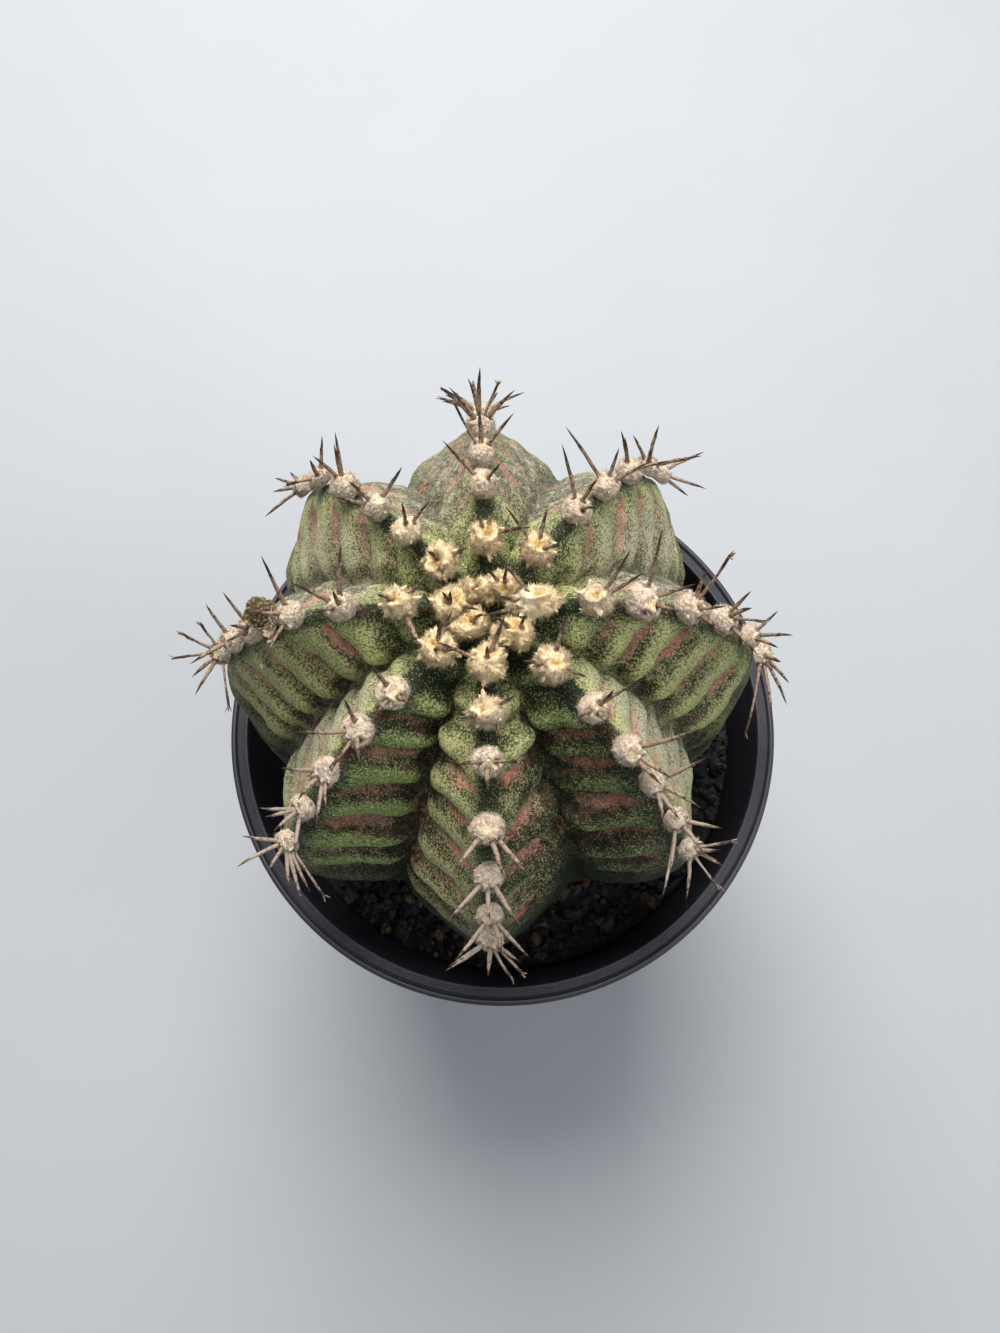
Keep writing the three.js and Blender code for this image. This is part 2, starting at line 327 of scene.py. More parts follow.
class Seat:
    """A place on a rib's edge, with the directions down the rib, across it and out of it."""

    def __init__(self, rib, down):
        points, arc = CREST_LINES[rib]
        spot = int(np.searchsorted(arc, down))
        self.point = points[spot]
        self.along = unit(points[spot + 1] - points[spot])
        azimuth = math.radians(ANGLES[rib])
        self.side = np.array([-math.sin(azimuth), math.cos(azimuth), 0])
        self.out = unit(np.cross(self.along, self.side))
        self.turn = np.stack([-self.side, self.along, self.out], axis=1)

    def above(self, height):
        return self.point + height * self.out

    def around(self, angle):
        """A direction along the skin, at an angle from the one across the rib."""
        return math.cos(angle) * self.side + math.sin(angle) * self.along


# The camera's view of the picture
def ray_through(pixel):
    right = np.array([1.0, 0, 0])
    forward = np.array([0, math.cos(CAMERA_TILT), -math.sin(CAMERA_TILT)])
    across = (pixel[0] - PICTURE_WIDTH / 2) / FOCAL_PIXELS
    rise = (PICTURE_HEIGHT / 2 - pixel[1]) / FOCAL_PIXELS
    return unit(forward + across * right + rise * np.cross(right, forward))


def tip_on_ray(pixel, start, out, shortest):
    """The end of a spine that shows at a pixel. Of two such places it is the one further out of the skin."""
    ray = ray_through(pixel)
    eye = np.array(CAMERA_PLACE)
    nearest = eye + ray * np.dot(start - eye, ray)
    gap = np.linalg.norm(nearest - start)
    length = max(shortest, RAY_SHARE * gap)
    depth = math.sqrt(length * length - gap * gap)
    side = -1 if np.dot(ray, out) > 0 else 1
    return nearest - side * depth * ray


# How the skin is divided into swollen bumps by slanting creases
SLANT = 1.0
BUMP_SWELL = 1.9
BUMP_SPACING = 5.5
BUMP_LEAN = 1.35
FIRST_BUMP = 5
LAST_SPACING = 6.5
LAST_LINES = 9
LOW_EDGE_LINES = [60, 90]
FLANK_TURN = math.radians(55)
FLANK_BLEND = 5

# Painted shade (above 0) or painted light (below 0) on some flanks, for light that falls more on one side:
# the rib and the side of it
FLANK_PAINTED_SHADE = {("front", 1): 1.4, ("front_right", -1): 0.7, ("front_left", 1): -0.5, ("left", 1): -1.5,
             ("right", -1): -0.5, ("front_right", 1): -1.4, ("back_left", 1): -0.6}


def chance(*keys):
    """A steady random-looking number from 0 to 1 for each set of keys."""
    mixed = sum(np.asarray(key, float) * factor for key, factor in zip(keys, (12.9898, 78.233, 37.719)))
    return (np.sin(mixed) * 43758.5453) % 1


def crease_lines(rib, side):
    """Where the creases on one flank of a rib would meet its edge, in millimetres from the crown."""
    downs = np.array(RIBS[RIB_NAMES[rib]][1], float)
    shift = 0.45 * np.sin(np.arange(len(downs) - 1) * 2.4 + rib * 1.7 + side * 2.1)
    middles = (downs[:-1] + downs[1:]) / 2 + shift
    further = downs[-1] + 3.2 + LAST_SPACING * np.arange(LAST_LINES)
    return np.concatenate([[0], middles, further])


def bump_phase(rib, side, reach):
    """The number of the bump at a place, and how far through it the place is, from 0 to 1."""
    lines = crease_lines(rib, side)
    count = np.interp(reach, lines, np.arange(len(lines)))
    number = np.floor(count)
    return number, count - number


def bump_height(phase):
    return np.maximum(1 - np.abs(2 * phase ** BUMP_LEAN - 1) ** 2.3, 0) ** 0.8


def spread(values):
    """The same values with the change from one flank to the next made gradual."""
    return np.mean([np.roll(values, step, axis=1) for step in range(-FLANK_BLEND, FLANK_BLEND + 1)], axis=0)


class SkinGrid:
    """The skin's rows and columns, and where each of its points lies on its rib."""

    def __init__(self):
        self.columns = RIB_COUNT * RIB_COLUMNS
        turns = np.arange(self.columns) * RIB_COUNT / self.columns
        arc = CREST_LINES[0][1]
        buried_arc = np.interp(BURIED_FROM, CREST_THETAS, arc)
        seen = np.interp(np.linspace(0, buried_arc, SKIN_RINGS + 1)[1:], arc, CREST_THETAS)
        buried = np.linspace(BURIED_FROM, math.pi, BURIED_RINGS + 2)[1:-1]
        turn, theta = np.meshgrid(turns, np.concatenate([seen, buried]))
        self.rings = len(theta)
        self.base = skin_points(turn, theta)
        self.flat = self.base.reshape(-1, 3)
        self.crown = skin_points(np.zeros(1), np.zeros(1))[0]
        self.root = np.array([PLANT_X, PLANT_Y, POT_HEIGHT + CREST["widest"] - CREST["below"]])
        crown_row = np.broadcast_to(self.crown, (1, self.columns, 3))
        steps = np.linalg.norm(np.diff(np.concatenate([crown_row, self.base]), axis=0), axis=2)
        self.down = np.cumsum(steps, axis=0)
        self.height = self.base[..., 2] - POT_HEIGHT
        around = (np.roll(self.base, -1, axis=1) - np.roll(self.base, 1, axis=1)) / 2
        self.normal = unit(np.cross(np.gradient(self.base, axis=0), around))
        self.tangent = unit(around)
        nearest = np.round(turn).astype(int)
        self.side = np.where(turn >= nearest, 1, -1)
        self.away = 2 * np.abs(turn - nearest)
        self.rib = nearest % RIB_COUNT
        crest_column = self.rib[0] * RIB_COLUMNS
        self.lateral = np.linalg.norm(self.base - self.base[:, crest_column], axis=2)
        # Which way each flank faces: sunlit toward the light, behind toward the back, lit everywhere but the
        # front. They paint light and shade into the skin's colour, and sunlit also flattens the bumps.
        facing = np.sin(np.radians(ANGLES[self.rib]) + self.side * FLANK_TURN)
        self.sunlit = spread(smooth(-0.55, -0.02, facing))
        self.behind = spread(smooth(0.25, 0.6, facing))
        self.lit = spread(smooth(-1.02, -0.72, facing))
        # Painted shade or painted light on some flanks, spread across their edges.
        flank_shade = np.zeros_like(self.away)
        for (name, side), amount in FLANK_PAINTED_SHADE.items():
            flank_shade[(self.rib == RIB_NAMES.index(name)) & (self.side == side)] = amount
        self.flank_shade = spread(flank_shade)

    def field(self, size, seed):
        return field(self.flat, size, seed).reshape(self.down.shape)

    def near(self, point, width):
        """How close each point of the skin is to a place, from 0 to 1."""
        return bell(np.linalg.norm(self.base - point, axis=2), width)


def mark_bumps(grid):
    """The bump that each point of the skin is on, and how high the bumps of both flanks end at the furrow."""
    slope = grid.away * math.pi / RIB_COUNT
    wander = 0.9 * grid.field(7, 12) + 0.3 * grid.field(2.2, 13)
    grid.reach = grid.down * (np.cos(slope) + SLANT * np.sin(slope)) + wander
    furrow_column = SIDE_COLUMNS + np.arange(grid.columns) // RIB_COLUMNS * RIB_COLUMNS
    furrow_slope = math.pi / RIB_COUNT
    furrow_reach = grid.down[:, furrow_column] * (math.cos(furrow_slope) + SLANT * math.sin(furrow_slope))
    grid.number, grid.phase, grid.edge_phase, grid.end_step = np.zeros((4, *grid.down.shape))
    for index, name in enumerate(RIB_NAMES):
        edge_lines = np.array([0, *RIBS[name][1], *LOW_EDGE_LINES], float)
        here = grid.rib == index
        grid.edge_phase[here] = np.interp(grid.down[here], edge_lines, np.arange(len(edge_lines))) % 1
        for flank in (-1, 1):
            place = here & (grid.side == flank)
            grid.number[place], grid.phase[place] = bump_phase(index, flank, grid.reach[place])
            own = bump_height(bump_phase(index, flank, furrow_reach[place])[1])
            other = bump_height(bump_phase((index + flank) % RIB_COUNT, -flank, furrow_reach[place])[1])
            grid.end_step[place] = own - other


def swell_skin(grid):
    """The skin's points, moved out to make its bumps, creases, wrinkles and notched edges."""
    away = grid.away
    swell = bump_height(grid.phase)
    grid.strength = 1 - 0.6 * grid.sunlit * (1 - 0.6 * smooth(28, 42, grid.down))
    grid.grown = smooth(FIRST_BUMP, 19, grid.reach) * smooth(3, 14, grid.height)
    vary = 0.6 + 0.6 * chance(grid.number, grid.rib, grid.side)
    corner = (2 * grid.phase ** BUMP_LEAN - 1) ** 2
    toe_end = 0.99 - 0.17 * corner
    toe = 1 - smooth(toe_end - 0.2, toe_end, away)
    across = smooth(0.06, 0.6, away) * (0.1 + 0.9 * toe)
    lumps = grid.field(5.5, 1)
    ripples = grid.field(1.9, 2)
    grain = grid.field(0.8, 3)
    folds = np.stack([grid.reach, away * 3.2, grid.rib * 5.0 + grid.side], axis=-1).reshape(-1, 3)
    wrinkles = field(folds, 1.1, 4).reshape(away.shape)
    grid.relief = grid.grown * grid.strength
    rise = BUMP_SWELL * grid.relief * across * (swell * vary - 0.42)
    rise += 0.42 * grid.relief * swell * bell(away - 0.7, 0.16)
    rise -= 0.45 * grid.relief * bell(1 - away, 0.12)
    rise += (0.5 * lumps + 0.24 * ripples) * smooth(0.1, 0.4, away) * smooth(2, 12, grid.down)
    rise += 0.2 * wrinkles * smooth(0.35, 0.8, away) * (0.6 + 0.6 * grid.sunlit) * smooth(8, 16, grid.down)
    rise += 0.07 * grain * smooth(4, 12, grid.down)
    rise -= 0.42 * bell(away, 0.13) * np.sin(math.pi * grid.edge_phase) ** 2 * smooth(5, 11, grid.down)
    zigzag = grid.grown * grid.end_step * smooth(0.55, 1, away) * grid.side
    return grid.base + rise[..., None] * grid.normal + zigzag[..., None] * grid.tangent


def skin_tints(grid):
    """The values at each point of the skin that its material is painted from."""
    away = grid.away
    bands = smooth(10, 19, grid.reach) * smooth(7, 16, grid.height)
    spindle = smooth(-0.1, 0.34, away) * (1 - 0.85 * smooth(0.42, 0.9, away))
    width = 0.05 + 0.14 * chance(grid.number, grid.rib, grid.side + 4) ** 1.2
    width = width * spindle * (1 + 0.4 * grid.sunlit)
    phase = grid.phase + 0.07 * grid.field(2.4, 16)
    pink = smooth(-0.03, 0.05, phase) * (1 - smooth(0.8 * width, width + 0.17, phase))
    pink *= smooth(0.04, 0.2, away) * (1 - smooth(0.66, 0.92, away)) * bands
    pink *= 0.68 + 0.32 * chance(grid.number, grid.rib, grid.side + 9)
    # Painted shadow along the creases under each bump.
    crease_shadow = bell(np.minimum(grid.phase, (1 - grid.phase) * 0.8) * BUMP_SPACING, 0.24)
    crease_shadow *= smooth(0.3, 0.6, away) * grid.relief
    furrow = 0.6 * bell(1 - away, 0.035) * smooth(6, 14, grid.down) * grid.strength
    toe_shade = bell(away - (0.98 - 0.15 * (2 * grid.phase ** BUMP_LEAN - 1) ** 2), 0.04)
    light = bell(grid.phase - 0.62, 0.22) * smooth(0.08, 0.4, away) * (1 - 0.4 * smooth(0.8, 1, away))
    upper = 1 - 0.75 * smooth(30, 44, grid.down)
    ridge = 1 - smooth(0.3, 3 - 0.9 * grid.sunlit, grid.lateral)
    # Painted shadow on the lower skin, lower and weaker on flanks that face the light.
    shadow_height = grid.height + 2.5 * grid.sunlit + 1.2 * grid.field(3, 14)
    low = (1 - smooth(9.5, 18.4, shadow_height)) * (1 - 0.4 * grid.sunlit)
    corks = [grid.near(skin_at_down(turn, down), wide) for turn, down, wide in CORK_PLACES]
    return {
        "pink": pink,
        # Painted shadow in the creases, along the furrow's floor and under the bumps' ends.
        "crease_shadow": np.maximum.reduce([crease_shadow, furrow, 0.7 * toe_shade * grid.relief]),
        "light": light,
        "young": 1 - smooth(7, 19, grid.reach),
        # A dark brownish band across each bump, partly the skin's own colour and partly painted shade, as it
        # is weaker on flanks that face the light.
        "dusky": bell(grid.phase - 0.3, 0.16) * bands * smooth(0.1, 0.3, away) * (1 - 0.7 * grid.sunlit),
        # Brown-grey mottle with painted shade on flanks that face the back.
        "behind": grid.behind * smooth(0.6, 2.6, grid.lateral) * smooth(9, 17, grid.down) * upper,
        # Painted light on all but the flanks that face the front.
        "lit": grid.lit * (1 - 0.8 * smooth(36, 50, grid.down)),
        # Painted shade or painted light on some flanks.
        "flank_shade": grid.flank_shade * smooth(12, 23, grid.reach),
        "flank": away,
        "ridge": ridge * (1 - 0.6 * smooth(34, 48, grid.down)),
        # Painted light and sheen on the flanks that face the light.
        "painted_light": grid.sunlit * smooth(0.12, 0.5, away) * smooth(10, 24, grid.reach) * upper,
        # Grey-brown furrows, darkened with painted shade that is weaker on flanks that face the light.
        "furrow": smooth(0.64, 0.96, away) * smooth(10, 20, grid.down) * (1 - 0.5 * grid.sunlit),
        # Painted shadow on the lower skin, weaker near the soil.
        "low": low * (0.5 + 0.5 * smooth(1, 10, grid.height)),
        "base": 1 - smooth(-10, 2, grid.height + 3 * grid.field(4, 15)),
        "cork": np.maximum.reduce(corks),
        "halo": 1 - smooth(1.2, 2.5, cushion_distance(grid.flat).reshape(away.shape)),
    }


def skin_piece():
    grid = SkinGrid()
    mark_bumps(grid)
    points = np.concatenate([swell_skin(grid).reshape(-1, 3), [grid.crown, grid.root]])
    tints = {}
    for key, value in skin_tints(grid).items():
        flat = value.ravel()
        tints[key] = np.concatenate([flat, flat[[0, -1]]])
    faces = closed_faces(grid.rings, grid.columns)
    skin = make_piece("cactus_skin", points, faces, skin_finish(), tints)
    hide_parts("cactus_body")


def ring_faces(rings, columns):
    start = np.arange(rings - 1)[:, None] * columns
    here = np.arange(columns)[None, :]
    after = (here + 1) % columns
    quads = np.stack([start + here, start + columns + here, start + columns + after, start + after], axis=-1)
    return [tuple(quad) for quad in quads.reshape(-1, 4).tolist()]


def closed_faces(rings, columns):
    """The faces between rings of points, and those to the two single points that close the ends."""
    faces = ring_faces(rings, columns)
    top = rings * columns
    last = top - columns
    for k in range(columns):
        after = (k + 1) % columns
        faces.append((top, k, after))
        faces.append((top + 1, last + after, last + k))
    return faces


# Corky brown patches: the furrow counted in ribs, how far from the crown, and how wide
CORK_PLACES = [(5.52, 25, 2.2), (6.46, 28, 2), (5.6, 32, 2), (4.5, 27, 1.6), (1.55, 26, 2.2), (2.45, 25, 2)]


def skin_at_down(turn, down):
    points, arc = line_down(turn)
    return points[int(np.searchsorted(arc, down))]


def all_seats():
    for rib, name in enumerate(RIB_NAMES):
        for index, down in enumerate(RIBS[name][1]):
            yield rib, name, index, Seat(rib, down)


def cushion_distance(points):
    """How far each point of the skin is from the nearest cushion."""
    nearest = np.full(len(points), 99.0)
    for rib, name, index, seat in all_seats():
        nearest = np.minimum(nearest, np.linalg.norm(points - seat.point, axis=1))
    return nearest


# Materials
class Signal:
    """A value that changes over a surface. Sums and products with it become nodes."""

    def __init__(self, finish, socket):
        self.finish = finish
        self.socket = socket

    def __add__(self, other):
        return self.finish.math("ADD", self, other)

    def __radd__(self, other):
        return self.finish.math("ADD", other, self)

    def __sub__(self, other):
        return self.finish.math("SUBTRACT", self, other)

    def __rsub__(self, other):
        return self.finish.math("SUBTRACT", other, self)

    def __mul__(self, other):
        return self.finish.math("MULTIPLY", self, other)


class Finish:
    """A material, with short calls for the nodes that it is wired from."""

    def __init__(self, name, roughness, specular=0.5):
        self.material = bpy.data.materials.new(name)
        self.material.use_nodes = True
        self.tree = self.material.node_tree
        self.shader = self.tree.nodes["Principled BSDF"]
        self.shader.inputs["Roughness"].default_value = roughness
        self.shader.inputs["Specular IOR Level"].default_value = specular
        self.place = self.node("TexCoord", {}, "Object")

    def node(self, kind, inputs, output=0, **settings):
        made = self.tree.nodes.new("ShaderNode" + kind)
        for key, value in settings.items():
            setattr(made, key, value)
        for key, value in inputs.items():
            if isinstance(value, Signal):
                self.tree.links.new(value.socket, made.inputs[key])
            else:
                made.inputs[key].default_value = value
        return Signal(self, made.outputs[output])

    def math(self, operation, first, second):
        return self.node("Math", {0: first, 1: second}, operation=operation)

    def noise(self, size, detail=2.0, rough=0.5, twist=0.0, place=None):
        inputs = {"Vector": place or self.place, "Scale": 1 / (size * MM), "Detail": detail}
        inputs.update({"Roughness": rough, "Distortion": twist})
        return self.node("TexNoise", inputs)

    def cells(self, size, place=None):
        inputs = {"Vector": place or self.place, "Scale": 1 / (size * MM)}
        return self.node("TexVoronoi", inputs, "Distance")

    def stretched(self, x, y, z):
        return self.node("Mapping", {"Vector": self.place, "Scale": (x, y, z)})

    def value(self, name):
        return self.node("Attribute", {}, "Fac", attribute_name=name)

    def between(self, value, low, high):
        inputs = {0: value, 1: low, 2: high, 3: 0.0, 4: 1.0}
        return self.node("MapRange", inputs, interpolation_type="SMOOTHSTEP")

    def mix(self, share, first, second):
        inputs = {0: share, 6: colour(first), 7: colour(second)}
        return self.node("Mix", inputs, 2, data_type="RGBA")

    def layers(self, base, *covers):
        """A colour with others laid over it, each with its share."""
        for share, cover in covers:
            base = self.mix(share, base, cover)
        return base

    def wire(self, result, name):
        self.tree.links.new(result.socket, self.shader.inputs[name])
        return result

    def paint(self, base, *covers):
        self.wire(self.layers(base, *covers), "Base Color")

    def gloss(self, value, low, high, rough_low, rough_high):
        """Roughness that goes from one number to another as a value goes from low to high."""
        inputs = {0: value, 1: low, 2: high, 3: rough_low, 4: rough_high}
        self.wire(self.node("MapRange", inputs), "Roughness")

    def bump(self, height, strength, depth, before=None):
        inputs = {"Height": height, "Strength": strength, "Distance": depth * MM}
        if before is not None:
            inputs["Normal"] = before
        return self.wire(self.node("Bump", inputs), "Normal")


def colour(value):
    return (*value, 1.0) if isinstance(value, tuple) else value


DARK_GREEN = (0.012, 0.021, 0.008)
MID_GREEN = (0.055, 0.092, 0.028)
LIGHT_GREEN = (0.44, 0.43, 0.2)
# Painted light on the flanks that don't face the front
LIT_GREEN = (0.57, 0.51, 0.25)
FRESH_GREEN = (0.19, 0.27, 0.07)
# Painted light and sheen on flanks that face the light: dark and pale specks
PAINTED_LIT_DARK = (0.1, 0.1, 0.045)
PAINTED_LIT_PALE = (0.42, 0.39, 0.27)
# Painted shade over a brown-grey mottle on flanks that face the back
SHADY_BROWN = (0.085, 0.074, 0.053)
SHADY_LIGHT = (0.185, 0.178, 0.142)
# Partly the skin's own brown, partly painted shade
DUSKY_BROWN = (0.07, 0.035, 0.024)
ROSE = (0.58, 0.21, 0.18)
SALMON = (0.62, 0.34, 0.245)
# Stripe colour under painted light and sheen
PAINTED_LIT_SALMON = (0.52, 0.31, 0.22)
MAROON = (0.16, 0.042, 0.032)
# Painted shadow in creases
CREASE_SHADOW = (0.014, 0.012, 0.006)
RIDGE_DARK = (0.017, 0.023, 0.008)
RIDGE_MAROON = (0.06, 0.018, 0.014)
FURROW_BROWN = (0.06, 0.055, 0.032)
FURROW_LIGHT = (0.25, 0.235, 0.145)
CORK_TAN = (0.3, 0.19, 0.11)
CORK_DARK = (0.04, 0.022, 0.013)
# Painted shadow on the lower skin
LOW_SHADE = (0.01, 0.014, 0.008)
OLD_GREY = (0.13, 0.11, 0.08)
FUZZ_GREY = (0.25, 0.27, 0.19)
PALE_DUST = (0.23, 0.235, 0.13)


def skin_tone(f, patches, middling):
    """How light the skin is, apart from its specks: its own lighter bump tops, darker crests, young skin and
    random patches, with painted light and painted shade by the way each flank faces, in the furrows and in
    the dusky bands.
    """
    light = f.value("light")
    # Painted light on flanks that don't face the front and on flanks that face the light.
    tone = light * 1.3 + f.value("painted_light") * 0.1 + f.value("lit") * 0.75 + 0.12
    # Painted shade or painted light on some flanks.
    tone = tone + f.value("flank_shade") * (-0.3 - light * 1.6)
    tone = tone - f.value("ridge") * 1.5 - f.value("young") * 1.2
    # Painted shade in the furrows; the dusky bands are partly painted shade.
    tone = tone - f.value("furrow") * 1.6 - f.value("dusky")
    return tone + (patches - 0.46) * 2.0 + (middling - 0.5) * 1.7


def stripe_red(f, middling, speckle, streaks, dark):
    """The stripes' colour, from maroon at the rib's edge to salmon near the furrow, with painted light and
    sheen on flanks that face the light and painted shade on those that face the front.
    """
    painted_light = f.value("painted_light")
    along = f.value("flank") + (middling - 0.5) * 0.5
    return f.layers(
        MAROON,
        (f.between(along, 0.12, 0.36), ROSE),
        (f.between(along, 0.32, 0.68), SALMON),
        # painted light and sheen on flanks that face the light
        (painted_light, PAINTED_LIT_SALMON),
        # painted shade on the stripes of flanks that face the front
        (f.between(f.value("lit"), 1.0, 0.0) * 0.4, dark),
        (f.between(streaks, 0.47, 0.63) * (0.42 - painted_light * 0.3), MAROON),
        (f.between(speckle, 0.53, 0.4) * 0.45, dark),
    )


def skin_finish():
    f = Finish("skin", 0.55, 0.11)
    patches = f.noise(3.6, 3)
    middling = f.noise(1.1, 3, 0.6)
    grains = f.noise(0.28, 2, 0.6)
    fine = f.noise(0.14, 2, 0.6)
    streaks = f.noise(0.9, 3, 0.6, 0.6)
    speckle = grains * 0.4 + fine * 0.25 + (0.9 - f.cells(0.25)) * 0.35
    # Painted light and sheen on flanks that face the light.
    painted_light = f.value("painted_light")
    ridge = f.value("ridge")
    halo = f.value("halo")
    tone = skin_tone(f, patches, middling)
    dark = f.layers(
        DARK_GREEN,
        (f.between(tone, -0.6, 1.0), MID_GREEN),
        # dusky bands: partly own brown, partly painted shade
        (f.value("dusky") * f.between(middling, 0.38, 0.58), DUSKY_BROWN),
        (painted_light * 0.9, PAINTED_LIT_DARK),
    )
    bright = f.layers(
        FRESH_GREEN,
        (f.between(grains - tone * 0.05, 0.4, 0.55), LIGHT_GREEN),
        # painted light on flanks that don't face the front
        (f.value("lit") * 0.7, LIT_GREEN),
        (painted_light, PAINTED_LIT_PALE),
    )
    pits = f.between(f.cells(0.36, f.stretched(1, 1, 1.3)), 0.26, 0.12)
    shady = f.mix(f.between(speckle, 0.4, 0.58), SHADY_BROWN, SHADY_LIGHT)
    ragged = middling - 0.5 + (speckle - 0.5) * 1.1
    blush = f.between(f.value("pink") + ragged, 0.1, 0.8)
    edge = f.mix(f.between(patches, 0.5, 0.6), RIDGE_DARK, RIDGE_MAROON)
    furrow = f.between(f.value("furrow") + (streaks - 0.5) * 1.8, 0.45, 1.1)
    furrow_tan = f.mix(f.between(speckle, 0.42, 0.6), FURROW_BROWN, FURROW_LIGHT)
    rough_patch = f.between(f.value("cork") + (f.noise(1.4, 3) - 0.5) * 1.6, 0.45, 0.7)
    bark = f.mix(f.between(f.noise(0.7, 4, 0.65), 0.42, 0.6), CORK_DARK, CORK_TAN)
    old = f.mix(f.between(f.noise(0.6, 4, 0.7), 0.42, 0.6), CORK_DARK, OLD_GREY)
    f.paint(
        dark,
        (f.between(speckle + tone * 0.15, 0.34, 0.82), bright),
        (f.between(speckle, 0.49, 0.38) * 0.6, dark),
        (f.between(speckle, 0.53, 0.64) * f.between(tone, -1.2, 1.2), bright),
        (pits * 0.5, dark),
        # painted shade over a brown-grey mottle on flanks that face the back
        (f.value("behind") * f.between(streaks, 0.34, 0.6), shady),
        # stripes, fainter under painted light on flanks that face the light
        (blush * (0.88 - painted_light * 0.24), stripe_red(f, middling, speckle, streaks, dark)),
        (f.between(ridge + ragged, 0.5, 1.05) * 0.8, edge),
        (f.between(speckle, 0.52, 0.62) * (0.3 + ridge * 0.25), PALE_DUST),
        # grey-brown furrows, with painted shade
        (furrow * 0.65, furrow_tan),
        # painted shadow in the creases and the furrow
        (f.value("crease_shadow") * 0.65, CREASE_SHADOW),
        (rough_patch * 0.85, bark),
        # painted shadow on the lower skin
        (f.value("low") * 0.93, LOW_SHADE),
        (f.value("base") * 0.8, old),
        (f.between(fine + halo * 0.1, 0.58, 0.68) * halo * 0.5, FUZZ_GREY),
    )
    f.gloss(speckle, 0.4, 0.6, 0.68, 0.48)
    f.bump(speckle, 0.8, 0.16, f.bump(f.cells(0.34), 0.35, 0.06))
    return f.material


YOUNG_WOOL = (0.84, 0.61, 0.31)
OLD_WOOL = (0.54, 0.4, 0.28)
# Painted highlights on the matted threads, young and old
YOUNG_WOOL_HIGHLIGHT = (0.94, 0.79, 0.54)
OLD_WOOL_HIGHLIGHT = (0.86, 0.76, 0.62)
WOOL_WHITE = (0.96, 0.85, 0.6)
# Painted shade in the wool's grooves, clumps and between hairs
WOOL_SHADE = (0.26, 0.155, 0.08)
WOOL_YELLOW = (0.86, 0.58, 0.2)
# Brown wool in the spine holes, darkened with painted shade
SOCKET_SHADE_BROWN = (0.035, 0.018, 0.009)
YOUNG_SOCKET_SHADE = (0.16, 0.085, 0.035)


def wool_finish():
    f = Finish("wool", 0.95, 0.2)
    threads = f.noise(0.2, 4, 0.7, 2.0, f.stretched(1, 1, 2.0))
    matted = threads * 0.6 + f.noise(0.45, 3, 0.6, 1.0) * 0.4
    clumps = f.noise(0.8, 3, 0.5, 1.2)
    old = f.value("old")
    white = f.value("white")
    # Painted shade in the grooves between threads and in random clumps, less on white wool.
    shade = f.value("groove") * 0.55 + (clumps - 0.5) * 1.1 - white * 0.6
    f.paint(
        YOUNG_WOOL,
        (old, OLD_WOOL),
        # painted highlights on the matted threads
        (f.between(matted, 0.43, 0.58) * 0.85, f.mix(old, YOUNG_WOOL_HIGHLIGHT, OLD_WOOL_HIGHLIGHT)),
        (f.between(old, -0.05, -0.5) * 0.8, WOOL_YELLOW),
        (white * 0.9, WOOL_WHITE),
        (f.between(shade, 0.3, 1.0) * 0.75, WOOL_SHADE),
        (f.between(f.noise(0.22, 2), 0.6, 0.7) * 0.55, WOOL_SHADE),
        # brown wool in the spine holes, with painted shade
        (f.between(f.value("socket"), 0.3, 0.8), f.mix(old, YOUNG_SOCKET_SHADE, SOCKET_SHADE_BROWN)),
    )
    f.bump(threads, 0.9, 0.14)
    return f.material


SPINE_BROWN = (0.11, 0.06, 0.034)
SPINE_TAN = (0.27, 0.185, 0.12)
SPINE_BONE = (0.32, 0.25, 0.195)
SPINE_TIP = (0.042, 0.025, 0.015)


def spine_finish():
    f = Finish("spine", 0.6, 0.25)
    tone = f.value("tone")
    flecks = f.noise(0.4, 4, 0.65)
    reach = f.value("along") - tone * 0.2 + (flecks - 0.5)
    f.paint(
        SPINE_TAN,
        (f.between(tone, 0.35, 1.0), SPINE_BONE),
        (f.between(flecks - tone * 0.1, 0.43, 0.6), SPINE_BROWN),
        (f.between(reach, 0.42, 0.74), SPINE_TIP),
    )
    f.gloss(flecks, 0.3, 0.7, 0.5, 0.8)
    f.bump(flecks, 0.5, 0.08)
    return f.material


BUD_BROWN = (0.06, 0.042, 0.018)
BUD_TAN = (0.21, 0.155, 0.075)
PETAL_TAN = (0.5, 0.38, 0.26)


def bud_finish():
    f = Finish("dried_petal", 0.8, 0.3)
    veins = f.noise(0.25, 3, 0.6, 1.5, f.stretched(1, 1, 0.3))
    warts = f.value("wart") + (f.noise(0.4, 3, 0.6) - 0.5) * 0.7
    bud = f.mix(f.between(warts, 0.25, 0.8), BUD_BROWN, BUD_TAN)
    petal = f.layers(BUD_BROWN, (f.between(veins, 0.4, 0.65), PETAL_TAN), (0.45, PETAL_TAN))
    f.paint(bud, (f.value("petal"), petal))
    f.bump(veins, 0.6, 0.1)
    return f.material


PEAT = (0.004, 0.004, 0.005)
GRIT_GREY = (0.03, 0.03, 0.036)
GRIT_TAN = (0.09, 0.056, 0.03)
GRIT_ORANGE = (0.11, 0.05, 0.016)


def soil_finish():
    f = Finish("soil", 0.85)
    kind = f.value("kind")
    crumbs = f.noise(0.5, 4, 0.65)
    f.paint(
        PEAT,
        (f.between(kind, 0.45, 0.75), GRIT_GREY),
        (f.between(kind, 0.84, 0.88), GRIT_TAN),
        (f.between(kind, 0.95, 0.97), GRIT_ORANGE),
        (f.between(crumbs, 0.42, 0.66) * 0.6, PEAT),
    )
    f.gloss(crumbs, 0.3, 0.7, 0.55, 0.95)
    f.bump(crumbs, 0.6, 0.2)
    return f.material


POT_BLACK = (0.016, 0.015, 0.022)
# Dust, also a painted reflection of the sky on the rim's top
POT_DUST_AND_SHEEN = (0.075, 0.068, 0.088)


